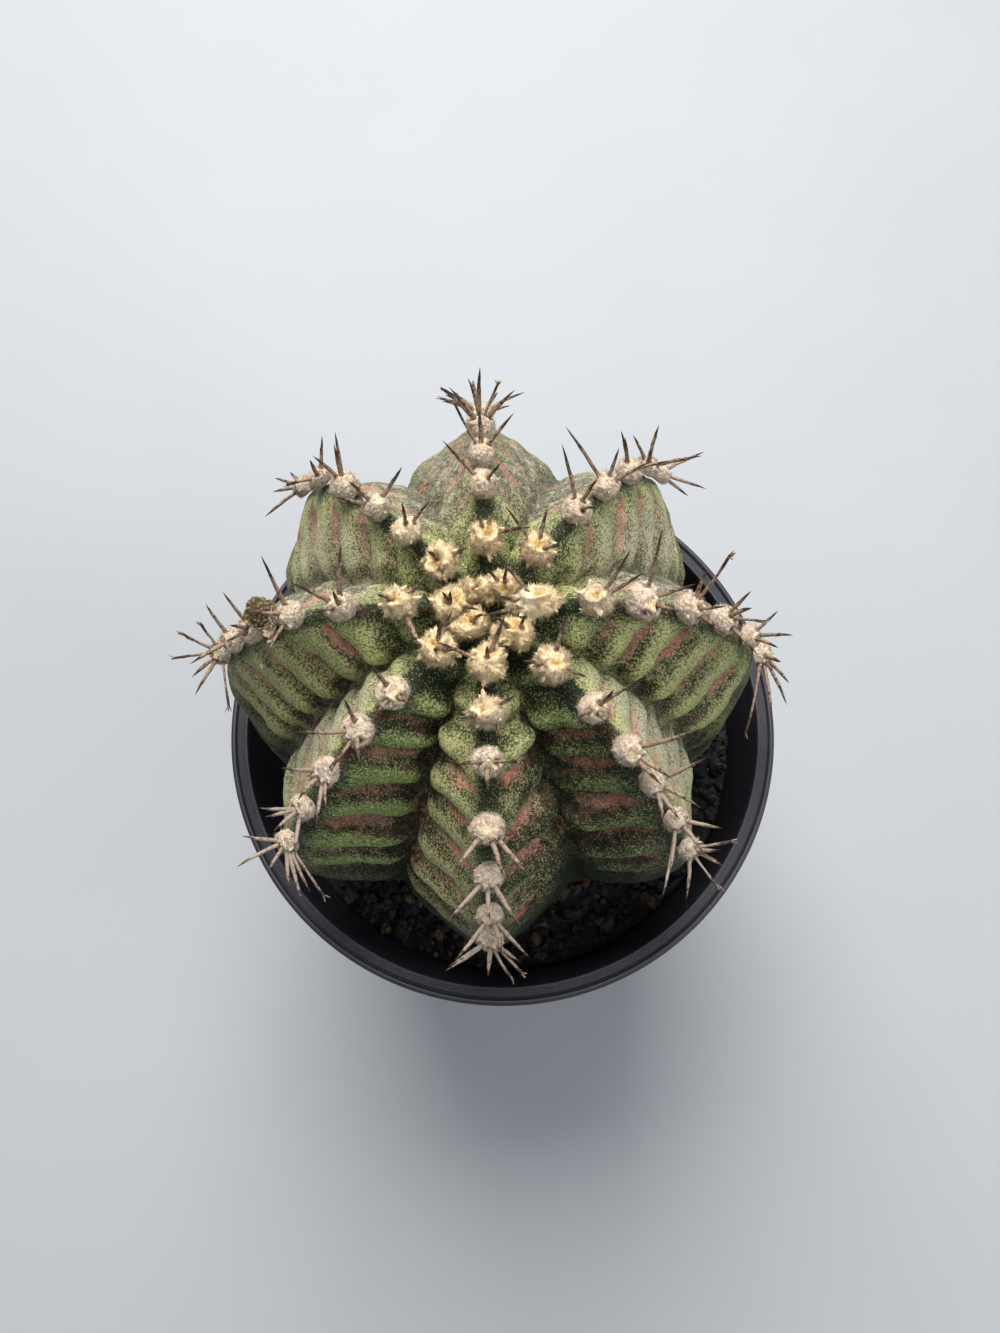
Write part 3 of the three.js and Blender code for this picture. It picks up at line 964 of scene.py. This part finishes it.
def pot_finish():
    f = Finish("pot_plastic", 0.42)
    dust = f.noise(9, 5, 0.7) * 0.7 + f.noise(0.5, 3, 0.6) * 0.3
    height = f.node("SeparateXYZ", {"Vector": f.place}, 2)
    # Dust blotches over the whole pot, and a painted reflection of the sky that lightens its top 1.5 mm.
    dust_and_rim_sheen = 0.14 + f.between(height, (POT_HEIGHT - 1.5) * MM, (POT_HEIGHT - 0.3) * MM) * 0.14
    f.paint(POT_BLACK, (f.between(dust, 0.4, 0.8) * dust_and_rim_sheen, POT_DUST_AND_SHEEN))
    f.gloss(dust, 0.3, 0.7, 0.34, 0.58)
    f.bump(f.noise(0.35, 2, 0.5, 0.0, f.stretched(1, 1, 6)), 0.25, 0.03)
    return f.material


# Woolly cushions, which are flat where they sit on the rib
FLAT_UNDER = 0.72


class Wool:
    """Matted wool in a cushion's own directions: across the rib, down it and out of it."""

    def __init__(self, shell, size, rng):
        self.directions, self.faces = shell
        self.size = size
        self.rng = rng
        self.seed = rng.uniform(1, 90)
        self.reach = np.ones(len(self.directions))
        self.socket, self.hollow, self.white = np.zeros((3, len(self.directions)))

    def angle_to(self, way):
        return np.arccos(np.clip(self.directions @ way, -1, 1))

    def mat(self, lobes):
        """Lobes, and the threads that lie over them."""
        ways = self.directions
        self.reach += lobes * (1.6 * field(ways, 0.85, self.seed) + 0.6 * field(ways, 0.42, self.seed + 3))
        swirl = ways + 0.35 * np.stack([field(ways, 0.6, self.seed + k) for k in (5, 6, 7)], axis=1)
        threads = 1 - 3.2 * np.abs(field(swirl * (1, 2.4, 1), 0.3, self.seed + 9))
        fine = 1 - 3.2 * np.abs(field(swirl * (2.2, 1, 1.4), 0.17, self.seed + 11))
        self.reach += 0.045 * np.maximum(threads, -0.6) + 0.04 * np.maximum(fine, -0.6)
        # Painted shade in the furrows between threads.
        self.groove = smooth(0.1, 1.0, 0.5 - 0.5 * threads)

    def sockets(self, ways, collar):
        """A hole with a raised collar where each spine leaves, painted brown and darkened with painted shade.
        """
        for way in ways:
            angle = self.angle_to(way)
            ragged = 1 + 1.2 * field(self.directions, 0.25, self.seed + 21)
            self.reach += collar * bell(angle - 0.42, 0.13) * ragged - SOCKET_DEPTH * bell(angle, 0.25)
            self.socket = np.maximum(self.socket, bell(angle, 0.27))

    def open_top(self, way, width, depth):
        """A shallow hollow with a torn rim, where younger wool shows."""
        angle = self.angle_to(way)
        ragged = 1 + 1.6 * field(self.directions, 0.3, self.seed + 31)
        self.reach += depth * (0.55 * bell(angle - 1.5 * width, 0.15) * ragged - bell(angle, width))
        self.hollow = bell(angle, 1.1 * width)

    def add_corners(self, count, height, width):
        for _ in range(count):
            way = unit(self.rng.normal(size=3) * (1, 1, 0.5) + (0, 0, 0.2))
            self.reach += self.rng.uniform(*height) * bell(self.angle_to(way), self.rng.uniform(*width))

    def points(self):
        points = self.directions * self.reach[:, None] * self.size
        points[:, 2] = np.maximum(points[:, 2], -FLAT_UNDER * self.size[2])
        return points


def add_fibres(heap, starts, ways, lengths, thickness, rng, **values):
    """Thin hairs, each a three-sided strand that ends in a point."""
    count = len(starts)
    side = unit(np.cross(ways, unit(rng.normal(size=(count, 3)))))
    other = np.cross(ways, side)
    corners = []
    for k in range(3):
        angle = 2 * math.pi * k / 3
        corners.append(starts + thickness * (math.cos(angle) * side + math.sin(angle) * other))
    corners.append(starts + ways * lengths[:, None])
    points = np.stack(corners, axis=1).reshape(-1, 3)
    faces = []
    for a in range(0, 4 * count, 4):
        faces += [(a, a + 1, a + 3), (a + 1, a + 2, a + 3), (a + 2, a, a + 3)]
    heap.add(points, faces, **{key: np.repeat(value, 4) for key, value in values.items()})


def add_flake(heap, shell, root, way, out, length, width, seed, **values):
    """A thin curled flake with a pointed end: a flattened shell that bends away from its root."""
    directions, faces = shell
    side = unit(np.cross(way, out))
    along = directions[:, 0] * 0.5 + 0.5
    across = directions[:, 1] * (1 - 0.8 * along ** 1.6)
    curl = 0.4 * along ** 2 + 0.3 * across ** 2 + 0.35 * field(directions, 0.5, seed)
    points = root + np.outer(along * length, way) + np.outer(across * width, side)
    points = points + np.outer(curl * width + 0.045 * directions[:, 2], unit(np.cross(side, way)))
    heap.add(points, faces, **values)


# The wool's size across, along and out of the rib, from the crown outwards, and the cushions that differ
WOOL_SIZES = [(1.65, 1.6, 1.2), (1.6, 1.6, 1.35), *3 * [(1.52, 1.56, 1.42)], *2 * [(1.3, 1.36, 1.2)]]
ODD_WOOL = {
    "right_1": (1.45, 2.75, 1.35),
    "right_3": (1.85, 1.8, 1.65),
    "front_1": (1.65, 1.75, 1.45),
    "back_left_1": (0.9, 1.0, 0.8),
    "back_1": (1.1, 1.2, 1.0),
    "back_right_1": (1.5, 1.3, 1.1),
    "front_left_1": (1.6, 1.9, 1.1),
    "front_right_1": (1.4, 1.9, 1.2),
}
CUSHION_SCATTER = 0.08
FIRST_SEAT_HEIGHT = 0.95
SEAT_HEIGHT = 1.1
WHITE_SIDED = ("right", 0)
WOOL_VALUES = ["old", "groove", "socket", "white"]
HAIR_RADIUS = 0.034
# Painted shade that differs from hair to hair
HAIR_SHADE = 1.5

# What differs between the first cushions of a rib and the others. Corners: how many, how high, how wide
YOUNG_CUSHIONS = 2
YOUNG_LOOK = {"lobes": 0.14, "hollow": 0.34, "yellow": 0.7, "corners": (7, (0.15, 0.5), (0.09, 0.16)),
              "collar": 0.11, "hairs": 1700, "longest_hair": 0.75, "flakes": 10, "flake_size": 1.4,
              "shortest_spine": 3.6}
OLD_LOOK = {"lobes": 0.06, "hollow": 0.12, "yellow": 0, "corners": (3, (0.06, 0.2), (0.1, 0.18)),
            "collar": 0.06, "hairs": 800, "longest_hair": 0.65, "flakes": 3, "flake_size": 1,
            "shortest_spine": 4.6}
SOCKET_DEPTH = 0.2
OPEN_SHARE = 0.65


def look_of(index):
    return YOUNG_LOOK if index < YOUNG_CUSHIONS else OLD_LOOK


def cushion_centre(seat, index):
    return seat.above(SEAT_HEIGHT if index else FIRST_SEAT_HEIGHT)


def spine_ends(name, index, seat, rng):
    """Where the spines of a cushion start and end."""
    start = cushion_centre(seat, index)
    look = look_of(index)
    tips = SPINE_TIPS[name][index]
    ends = [tip_on_ray(pixel, start, seat.out, look["shortest_spine"]) for pixel in tips]
    if tips or look is YOUNG_LOOK:
        return start, ends
    for across, down, out in HIDDEN_WAYS:
        way = unit(across * seat.side + down * seat.along + out * seat.out + rng.normal(size=3) * 0.12)
        ends.append(start + way * HIDDEN_LENGTH * rng.uniform(0.8, 1.1))
    return start, ends


def wool_piece(name, index, seat, finish, rng, spine_tips):
    look = look_of(index)
    start = cushion_centre(seat, index)
    plain_size = ODD_WOOL.get(f"{name}_{index + 1}", WOOL_SIZES[index])
    size = np.array(plain_size) * (1 + rng.uniform(-CUSHION_SCATTER, CUSHION_SCATTER, 3))
    wool = Wool(FINE_SHELL, size, rng)
    wool.mat(look["lobes"])
    if look is YOUNG_LOOK or rng.uniform() < OPEN_SHARE:
        lean = rng.uniform(-0.5, 0.5)
        top = unit(np.array([lean, rng.uniform(-0.5, 0.1), 1]))
        wool.open_top(top, rng.uniform(0.26, 0.4), look["hollow"])
    wool.add_corners(*look["corners"])
    wool.sockets([unit(seat.turn.T @ (tip - start)) for tip in spine_tips], look["collar"])
    if (name, index) == WHITE_SIDED:
        wool.white = smooth(-0.3, 0.2, -wool.directions[:, 1]) * smooth(-0.2, 0.2, wool.directions[:, 2])
    points = wool.points()
    placed = start + points @ seat.turn.T
    age = float(smooth(5, 17, RIBS[name][1][index]))
    old = age * (1 - 0.8 * wool.hollow) - look["yellow"] * wool.hollow
    heap = Heap(WOOL_VALUES)
    heap.add(placed, wool.faces, old=old, groove=wool.groove, socket=wool.socket, white=wool.white)
    add_fuzz(heap, placed, points, start, seat, wool, old, look)
    add_torn_edges(heap, placed, points, start, wool, age, look)
    piece = heap.piece(f"wool_{name}_{index + 1}", finish, "wool")
    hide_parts(f"areole_{name}_{index + 1}")


def add_fuzz(heap, placed, points, start, seat, wool, age, look):
    """Hairs that stand out in tufts from young wool and lie along old wool."""
    rng = wool.rng
    count = look["hairs"]
    chosen = rng.choice(np.flatnonzero(points[:, 2] > -0.5 * wool.size[2]), count)
    outward = unit(placed[chosen] - start)
    loose = rng.normal(size=(count, 3))
    comb = np.stack([field(wool.directions[chosen], 0.5, wool.seed + k) for k in (41, 43, 45)], axis=1)
    if look is YOUNG_LOOK:
        ways = unit(outward + 2.2 * comb + 0.35 * loose)
    else:
        lying = np.cross(outward, unit(seat.out + 0.4 * rng.normal(size=3)))
        ways = unit(lying + 0.4 * outward + 1.5 * comb + 0.25 * loose)
    lengths = rng.uniform(0.25, look["longest_hair"], count)
    starts = placed[chosen] - 0.05 * outward + 0.05 * rng.normal(size=(count, 3))
    values = {
        "old": np.broadcast_to(age, len(wool.directions))[chosen],
        "white": wool.white[chosen],
        "socket": 0.6 * wool.socket[chosen],
        # painted shade that differs from hair to hair
        "groove": HAIR_SHADE * rng.uniform(0, 1, count) ** 2,
    }
    add_fibres(heap, starts, ways, lengths, HAIR_RADIUS, rng, **values)


def add_torn_edges(heap, placed, points, start, wool, age, look):
    """Small pointed flakes of felted wool round the sides."""
    rng = wool.rng
    larger = look["flake_size"]
    sides = np.flatnonzero((points[:, 2] > -0.4 * wool.size[2]) & (points[:, 2] < 0.75 * wool.size[2]))
    for spot in rng.choice(sides, look["flakes"]):
        outward = unit(placed[spot] - start)
        lie = unit(np.cross(outward, rng.normal(size=3)))
        way = unit(0.6 * outward + 0.8 * lie)
        root = placed[spot] - 0.2 * outward
        length = rng.uniform(0.4, 0.8) * larger
        width = rng.uniform(0.18, 0.32) * larger
        add_flake(heap, STONE_SHELL, root, way, outward, length, width, rng.uniform(1, 60), old=age)


# Spines
SPINE_SIDES = 8
SPINE_STEPS = 12
BLUNT_SHARE = 0.22


def add_splinters(heap, end, way, out, radius, tone, rng):
    """The split ends of a blunt old spine."""
    root = end - way * 0.35
    width = radius * 0.8
    for _ in range(3):
        lean = unit(way + 0.35 * rng.normal(size=3))
        length = rng.uniform(0.6, 1.1)
        seed = rng.uniform(1, 60)
        add_flake(heap, STONE_SHELL, root, lean, out, length, width, seed, along=0.3, tone=tone)


def add_spine(heap, start, end, out, radius, tone, blunt, rng):
    """A slightly bent and uneven spine that keeps its width and then comes to a point."""
    length = np.linalg.norm(end - start)
    way = (end - start) / length
    rise = out - way * np.dot(out, way)
    bow = unit(rise + 0.5 * rng.normal(size=3)) * length * rng.uniform(0.01, 0.05)
    side = unit(np.cross(way, out + 0.01 * rng.normal(size=3)))
    other = np.cross(way, side)
    share = np.linspace(0, 1, SPINE_STEPS)
    place = share[:, None]
    middle = (start + end) / 2 + 2 * bow
    line = (1 - place) ** 2 * start + 2 * place * (1 - place) * middle + place ** 2 * end
    line[1:-1] += 0.014 * rng.normal(size=(SPINE_STEPS - 2, 3))
    width = radius * (1 - share ** 3.4) ** 0.9 + 0.018
    if blunt:
        width = radius * (0.9 + 0.12 * np.sin(9 * share)) * (1 - 0.35 * share)
        add_splinters(heap, end, way, out, radius, tone, rng)
    knots = 1 + 0.045 * rng.normal(size=(SPINE_STEPS, 1))
    uneven = knots + 0.05 * rng.normal(size=(SPINE_STEPS, SPINE_SIDES))
    angle = 2 * math.pi * np.arange(SPINE_SIDES) / SPINE_SIDES
    ring = np.cos(angle)[:, None] * side + 0.82 * np.sin(angle)[:, None] * other
    points = line[:, None, :] + (width[:, None] * uneven)[..., None] * ring[None]
    points = np.concatenate([points.reshape(-1, 3), [start, end + way * 0.06]])
    along = np.concatenate([np.repeat(share, SPINE_SIDES), [0, 1]])
    heap.add(points, closed_faces(SPINE_STEPS, SPINE_SIDES), along=along, tone=tone)


def spines_piece(name, index, seat, finish, rng, start, ends):
    heap = Heap(["along", "tone"])
    age = float(smooth(8, 34, RIBS[name][1][index]))
    front = smooth(0.1, 0.8, -math.sin(math.radians(RIBS[name][0])))
    for end in ends:
        tone = np.clip(0.12 + 0.45 * age + 0.5 * age * front + rng.uniform(-0.12, 0.12), 0, 1)
        radius = rng.uniform(0.2, 0.26) + 0.04 * age
        blunt = rng.uniform() < BLUNT_SHARE * age
        add_spine(heap, start, end, seat.out, radius, tone, blunt, rng)
    heap.piece(f"spines_{name}_{index + 1}", finish, "spine")


def areoles():
    wool = wool_finish()
    spine = spine_finish()
    for rib, name, index, seat in all_seats():
        rng = np.random.default_rng(SEED + 10 * rib + index)
        start, ends = spine_ends(name, index, seat, rng)
        wool_piece(name, index, seat, wool, rng, ends)
        if ends:
            spines_piece(name, index, seat, spine, rng, start, ends)
    crown_wool(wool)


# Low tufts of the youngest wool round the crown's hollow: how far right and back of the axis, and how wide
CROWN_TUFTS = [(0.9, -2.9, 1.15), (2.7, 0.9, 0.8), (-0.5, -1.4, 0.8)]


def crown_wool(finish):
    heap = Heap(WOOL_VALUES)
    rng = np.random.default_rng(SEED)
    seat = Seat(0, 1.0)
    for across, back, width in CROWN_TUFTS:
        centre = np.array([PLANT_X + across, PLANT_Y + back, POT_HEIGHT + VALLEY["top"] + 0.2])
        wool = Wool(PLAIN_SHELL, width * np.array([1, 1, 0.8]), rng)
        wool.mat(0.3)
        wool.add_corners(7, (0.25, 0.6), (0.14, 0.22))
        points = wool.points()
        heap.add(centre + points, wool.faces, groove=wool.groove)
        add_fuzz(heap, centre + points, points, centre, seat, wool, 0.0, YOUNG_LOOK)
    heap.piece("crown_wool", finish, "wool")


# The flower that dried on the left rib, and the small rosette left by another
DRIED_VALUES = ["wart", "petal"]
FLOWER_DOWN = 24.3
BUD_RADIUS = 1.5
BUD_SQUASH = 0.92
WARTS = 190
PETALS = 11
FALLEN_PETALS = 7
PETAL_SHELL = round_shell(3)
ROSETTE_CUSHION = 4

# The rosette's rings of petals: how many, and how long
ROSETTE_RINGS = [(9, 0.5), (7, 0.34), (5, 0.16)]


def warty(rng):
    """The points, faces and wart heights of a bud round its middle."""
    directions, faces = FINE_SHELL
    turns = np.arange(WARTS) * math.pi * (3 - math.sqrt(5))
    up = 1 - 2 * (np.arange(WARTS) + 0.5) / WARTS
    ring = np.sqrt(1 - up * up)
    even = np.stack([ring * np.cos(turns), ring * np.sin(turns), up], axis=1)
    likeness = directions @ unit(even + 0.07 * rng.normal(size=(WARTS, 3))).T
    tall = rng.uniform(0.4, 1.3, WARTS)[likeness.argmax(axis=1)]
    angle = np.arccos(np.clip(likeness.max(axis=1), -1, 1))
    wart = np.maximum(1 - (angle * math.sqrt(WARTS) / 2) ** 2, 0)
    reach = 1 + 0.13 * wart * tall + 0.2 * field(directions, 0.7, 4) + 0.1 * field(directions, 0.25, 5)
    return directions * reach[:, None] * BUD_RADIUS * np.array([1, 1, BUD_SQUASH]), faces, wart * tall


def dried_flower(finish):
    seat = Seat(RIB_NAMES.index("left"), FLOWER_DOWN)
    heap = Heap(DRIED_VALUES)
    rng = np.random.default_rng(SEED + 5)
    root = seat.above(0.35)
    lean = unit(0.75 * seat.out + 0.55 * seat.along - 0.75 * seat.side)
    points, faces, wart = warty(rng)
    heap.add(root + lean * 2.05 + points, faces, wart=wart)
    for k in range(PETALS):
        around = seat.around(2 * math.pi * k / PETALS + rng.uniform(-0.2, 0.2))
        way = unit(lean * 0.9 + around * rng.uniform(0.3, 0.9))
        foot = root + around * 0.4
        length = rng.uniform(1.3, 2.5)
        width = rng.uniform(0.5, 0.9)
        add_flake(heap, PETAL_SHELL, foot, way, around - lean * 0.2, length, width, 20 + k, petal=1.0)
    rest = seat.point + 0.9 * seat.out + 1.3 * seat.side - 0.9 * seat.along
    for k in range(FALLEN_PETALS):
        way = unit(seat.around(-0.9 * k) + seat.out * rng.uniform(0.2, 0.9))
        length = rng.uniform(1.2, 2.1)
        width = rng.uniform(0.7, 1.0)
        add_flake(heap, PETAL_SHELL, rest, way, seat.out, length, width, 60 + k, petal=1.0)
    piece = heap.piece("dried_flower_bud", finish, "dried_petal")
    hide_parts("dried_flower")


def rosette(finish):
    seat = Seat(RIB_NAMES.index("front_left"), RIBS["front_left"][1][ROSETTE_CUSHION])
    heap = Heap(DRIED_VALUES)
    root = seat.above(2.25) + 0.45 * seat.along - 0.1 * seat.side
    for ring, (count, reach) in enumerate(ROSETTE_RINGS):
        for k in range(count):
            around = seat.around(2 * math.pi * (k + 0.5 * ring) / count)
            way = unit(around * (1 - 0.25 * ring) + seat.out * (0.45 + 0.35 * ring))
            seed = 40 + 9 * ring + k
            add_flake(heap, STONE_SHELL, root, way, seat.out, reach + 0.35, 0.24, seed, petal=0.6)
    heap.piece("dried_rosette", finish, "dried_petal")


# The soil and its grit
def inside_radius(height):
    share = (height - FLOOR_THICKNESS) / (POT_HEIGHT - FLOOR_THICKNESS)
    return BASE_INSIDE_RADIUS + (RIM_RADIUS - LIP_WIDTH - BASE_INSIDE_RADIUS) * share


def soil_height(x, y):
    share = np.hypot(x, y) / inside_radius(SOIL_TOP)
    azimuth = np.arctan2(y, x)
    wave = 0.5 * np.sin(5 * azimuth + 3 * share)
    return SOIL_TOP + (SOIL_SLOPE * np.cos(azimuth) + wave) * share


def circle(radius, height, sides):
    """Evenly spaced points round the pot's axis."""
    azimuth = 2 * math.pi * np.arange(sides) / sides
    return np.stack([radius * np.cos(azimuth), radius * np.sin(azimuth), np.full(sides, height)], axis=1)


SOIL_SIDES = 160
SOIL_CIRCLES = 44
SOIL_WALL_CIRCLES = 12

# The grit: its shell, how many, and the smallest and largest size
GRIT = [(STONE_SHELL, 1050, 0.55, 1.35), (CRUMB_SHELL, 2200, 0.25, 0.6)]


def soil_ground(finish):
    bottom = FLOOR_THICKNESS + GAP
    rows = []
    for share in np.linspace(0.3, 1, SOIL_CIRCLES):
        row = circle((inside_radius(SOIL_TOP) - GAP) * share, 0.0, SOIL_SIDES)
        lumps = 1.1 * field(row, 2.6, 6) + 0.5 * field(row, 0.9, 7)
        row[:, 2] = soil_height(row[:, 0], row[:, 1]) - 0.5 + lumps
        rows.append(row)
    for height in np.linspace(SOIL_TOP - 3, bottom, SOIL_WALL_CIRCLES):
        rows.append(circle(inside_radius(height) - GAP, height, SOIL_SIDES))
    points = np.concatenate([*rows, [[0, 0, rows[0][:, 2].mean()], [0, 0, bottom]]])
    kind = np.clip(0.3 + 0.35 * field(points, 1.5, 8), 0, 0.6)
    faces = closed_faces(len(rows), SOIL_SIDES)
    ground = make_piece("soil_ground", points, faces, finish, {"kind": kind})
    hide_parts("soil")


def grit_place(rng, small, large):
    """Where a stone lies between the plant and the pot, and its size."""
    wall = inside_radius(SOIL_TOP) - GAP
    while True:
        x, y = rng.uniform(-GRIT_REACH, GRIT_REACH, 2)
        size = rng.uniform(small, large) * rng.uniform(0.7, 1)
        if math.hypot(x, y) < wall - size and math.hypot(x - PLANT_X, y - PLANT_Y) > PLANT_FOOT:
            return x, y, size


def soil_grit(finish):
    """Stones and crumbs that lie on the soil."""
    rng = np.random.default_rng(SEED + 3)
    heap = Heap(["kind"])
    for (directions, faces), count, small, large in GRIT:
        for _ in range(count):
            x, y, size = grit_place(rng, small, large)
            height = soil_height(x, y) + rng.uniform(-0.5, 0.55)
            shape = size * rng.uniform(0.7, 1.15, 3)
            turn = Matrix.Rotation(rng.uniform(0, math.pi), 3, Vector(rng.normal(size=3)).normalized())
            reach = 1 + 0.26 * np.sin(directions @ rng.normal(size=3) * 3 + rng.uniform(0, 6))
            reach += 0.12 * np.sin(directions @ rng.normal(size=3) * 6)
            stone = (directions * reach[:, None] * shape) @ np.array(turn).T + (x, y, height)
            heap.add(stone, faces, kind=rng.uniform(0, 1))
    heap.piece("soil_grit", finish, "soil", rounded=False)


# The pot
POT_SIDES = 240
WALL_CIRCLES = 22
INSIDE_CIRCLES = 14
RIM_LINES = 5
FIRST_GROOVE = 1.12
BEAD = 0.42
UNDER_LIP = 1.4
FOOT_EDGE = 0.8
SKIRT_EDGE = 0.15


def from_rim(*steps):
    """Radius and height of places given as steps in from the rim and down from its top."""
    return [(RIM_RADIUS - inwards, POT_HEIGHT - down) for inwards, down in steps]


def pot_outline():
    """Radius and height pairs from the middle of the base, round the lip, to the middle of the floor."""
    foot = inside_radius(0) + WALL
    under_lip = POT_HEIGHT - UNDER_LIP
    line = [(BASE_DISC_RADIUS, 0), (foot - FOOT_EDGE, 0), (foot - 0.25, 0.2), (foot, FOOT_EDGE)]
    for share in np.linspace(0.04, 0.96, WALL_CIRCLES):
        height = FOOT_EDGE + (under_lip - FOOT_EDGE) * share
        line.append((inside_radius(height) + WALL, height))
    line.append((inside_radius(under_lip) + WALL, under_lip))
    above_edge = SKIRT_HEIGHT - SKIRT_EDGE
    line += from_rim((SKIRT_WALL, UNDER_LIP), (SKIRT_WALL, above_edge))
    line += from_rim((SKIRT_WALL - SKIRT_EDGE, SKIRT_HEIGHT))
    line += from_rim((0.3 + SKIRT_EDGE, SKIRT_HEIGHT), (0.3, above_edge), (0.22, 4), (0.1, 1.6))
    for angle in np.linspace(-0.2, math.pi * 0.95, 9):
        line += from_rim((BEAD - BEAD * math.cos(angle), BEAD - BEAD * math.sin(angle)))
    line += from_rim((0.95, 0.5), (1.05, 0.42))
    step = (LIP_WIDTH - FIRST_GROOVE - 0.35) / RIM_LINES
    for k in range(RIM_LINES):
        groove = FIRST_GROOVE + k * step
        line += from_rim((groove, 0.06), (groove + 0.25 * step, 0.01))
        line += from_rim((groove + 0.8 * step, 0.01), (groove + step, 0.1))
    line += from_rim((LIP_WIDTH - 0.28, 0.02), (LIP_WIDTH - 0.1, 0.1), (LIP_WIDTH, 0.4))
    for share in np.linspace(0.98, 0.02, INSIDE_CIRCLES):
        height = FLOOR_THICKNESS + (POT_HEIGHT - FLOOR_THICKNESS) * share
        line.append((inside_radius(height), height))
    return line + [(BASE_INSIDE_RADIUS - 0.3, FLOOR_THICKNESS), (BASE_DISC_RADIUS, FLOOR_THICKNESS)]


def pot_piece(finish):
    rows = [circle(radius, height, POT_SIDES) for radius, height in pot_outline()]
    faces = [tuple(reversed(face)) for face in ring_faces(len(rows), POT_SIDES)]
    pot = make_piece("nursery_pot", np.concatenate(rows), faces, finish)
    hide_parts("pot")
    base_disc(finish)


def cylinders(name, radius, depth, sides, places):
    """An object of upright cylinders, with their middles at some places."""
    shape = bmesh.new()
    size = {"segments": sides, "radius1": radius, "radius2": radius, "depth": depth}
    for place in places:
        bmesh.ops.create_cone(shape, cap_ends=True, matrix=Matrix.Translation(place), **size)
    bmesh.ops.scale(shape, verts=shape.verts, vec=(MM, MM, MM))
    mesh = bpy.data.meshes.new(name)
    shape.to_mesh(mesh)
    shape.free()
    return add_object(name, mesh)


def base_disc(finish):
    """The middle of the base, with the drain holes cut out of it."""
    middle = (0, 0, FLOOR_THICKNESS / 2)
    disc = cylinders("pot_base", BASE_DISC_RADIUS, FLOOR_THICKNESS, POT_SIDES, [middle])
    holes = circle(DRAIN_CIRCLE, 0, DRAIN_HOLES)
    cutter = cylinders("drain_cutters", DRAIN_RADIUS, 4 * FLOOR_THICKNESS, DRAIN_SIDES, holes)
    cut = disc.modifiers.new("holes", "BOOLEAN")
    cut.operation = "DIFFERENCE"
    cut.object = cutter
    bpy.context.view_layer.update()
    finished = bpy.data.meshes.new_from_object(disc.evaluated_get(bpy.context.evaluated_depsgraph_get()))
    disc.modifiers.clear()
    disc.data = finished
    bpy.data.objects.remove(cutter)
    finished.materials.clear()
    finished.materials.append(finish)
    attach(disc, "root")


# The studio, in metres. Each light has a place, a size, a power and a tint.
FLOOR_CORNERS = [(-3, -3, 0), (3, -3, 0), (3, 3, 0), (-3, 3, 0)]
FLOOR_DARK = (0.35, 0.365, 0.38)
FLOOR_LIGHT = (0.375, 0.39, 0.405)
LIGHTS = {
    "key_light": ((-0.05, 0.34, 0.52), 0.4, 6.2, (1, 0.985, 0.96)),
    "fill_light": ((0.5, -0.2, 0.5), 0.5, 1.9, (0.94, 0.97, 1)),
}
LIT_PLACE = Vector((0, 0, 0.09))
SKY_TINT = (0.86, 0.91, 1, 1)
SKY_STRENGTH = 0.42


def studio_floor():
    f = Finish("studio_floor", 0.7)
    f.paint(FLOOR_DARK, (f.noise(40, 3), FLOOR_LIGHT))
    mesh = bpy.data.meshes.new("studio_floor")
    mesh.from_pydata(FLOOR_CORNERS, [], [(0, 1, 2, 3)])
    mesh.materials.append(f.material)
    floor = add_object("studio_floor", mesh)


def studio_light():
    for name, (place, size, power, tint) in LIGHTS.items():
        data = bpy.data.lights.new(name, "AREA")
        data.size = size
        data.energy = power
        data.color = tint
        light = add_object(name, data)
        light.location = place
        light.rotation_euler = (LIT_PLACE - Vector(place)).to_track_quat("-Z", "Y").to_euler()
    world = bpy.data.worlds.new("studio")
    bpy.context.scene.world = world
    world.use_nodes = True
    sky = world.node_tree.nodes["Background"]
    sky.inputs["Color"].default_value = SKY_TINT
    sky.inputs["Strength"].default_value = SKY_STRENGTH
    bpy.context.scene.view_settings.view_transform = "Standard"


def photo_camera():
    data = bpy.data.cameras.new("photo_camera")
    data.sensor_width = SENSOR
    data.lens = SENSOR * FOCAL_PIXELS / PICTURE_HEIGHT
    data.clip_start = 0.005
    data.clip_end = 20
    camera = add_object("photo_camera", data)
    camera.location = CAMERA_PLACE * MM
    camera.rotation_euler = (math.pi / 2 - CAMERA_TILT, 0, 0)
    bpy.context.scene.camera = camera


photo_camera()
studio_light()
studio_floor()
skin_piece()
areoles()
dried = bud_finish()
dried_flower(dried)
rosette(dried)
soil = soil_finish()
soil_ground(soil)
soil_grit(soil)
pot_piece(pot_finish())
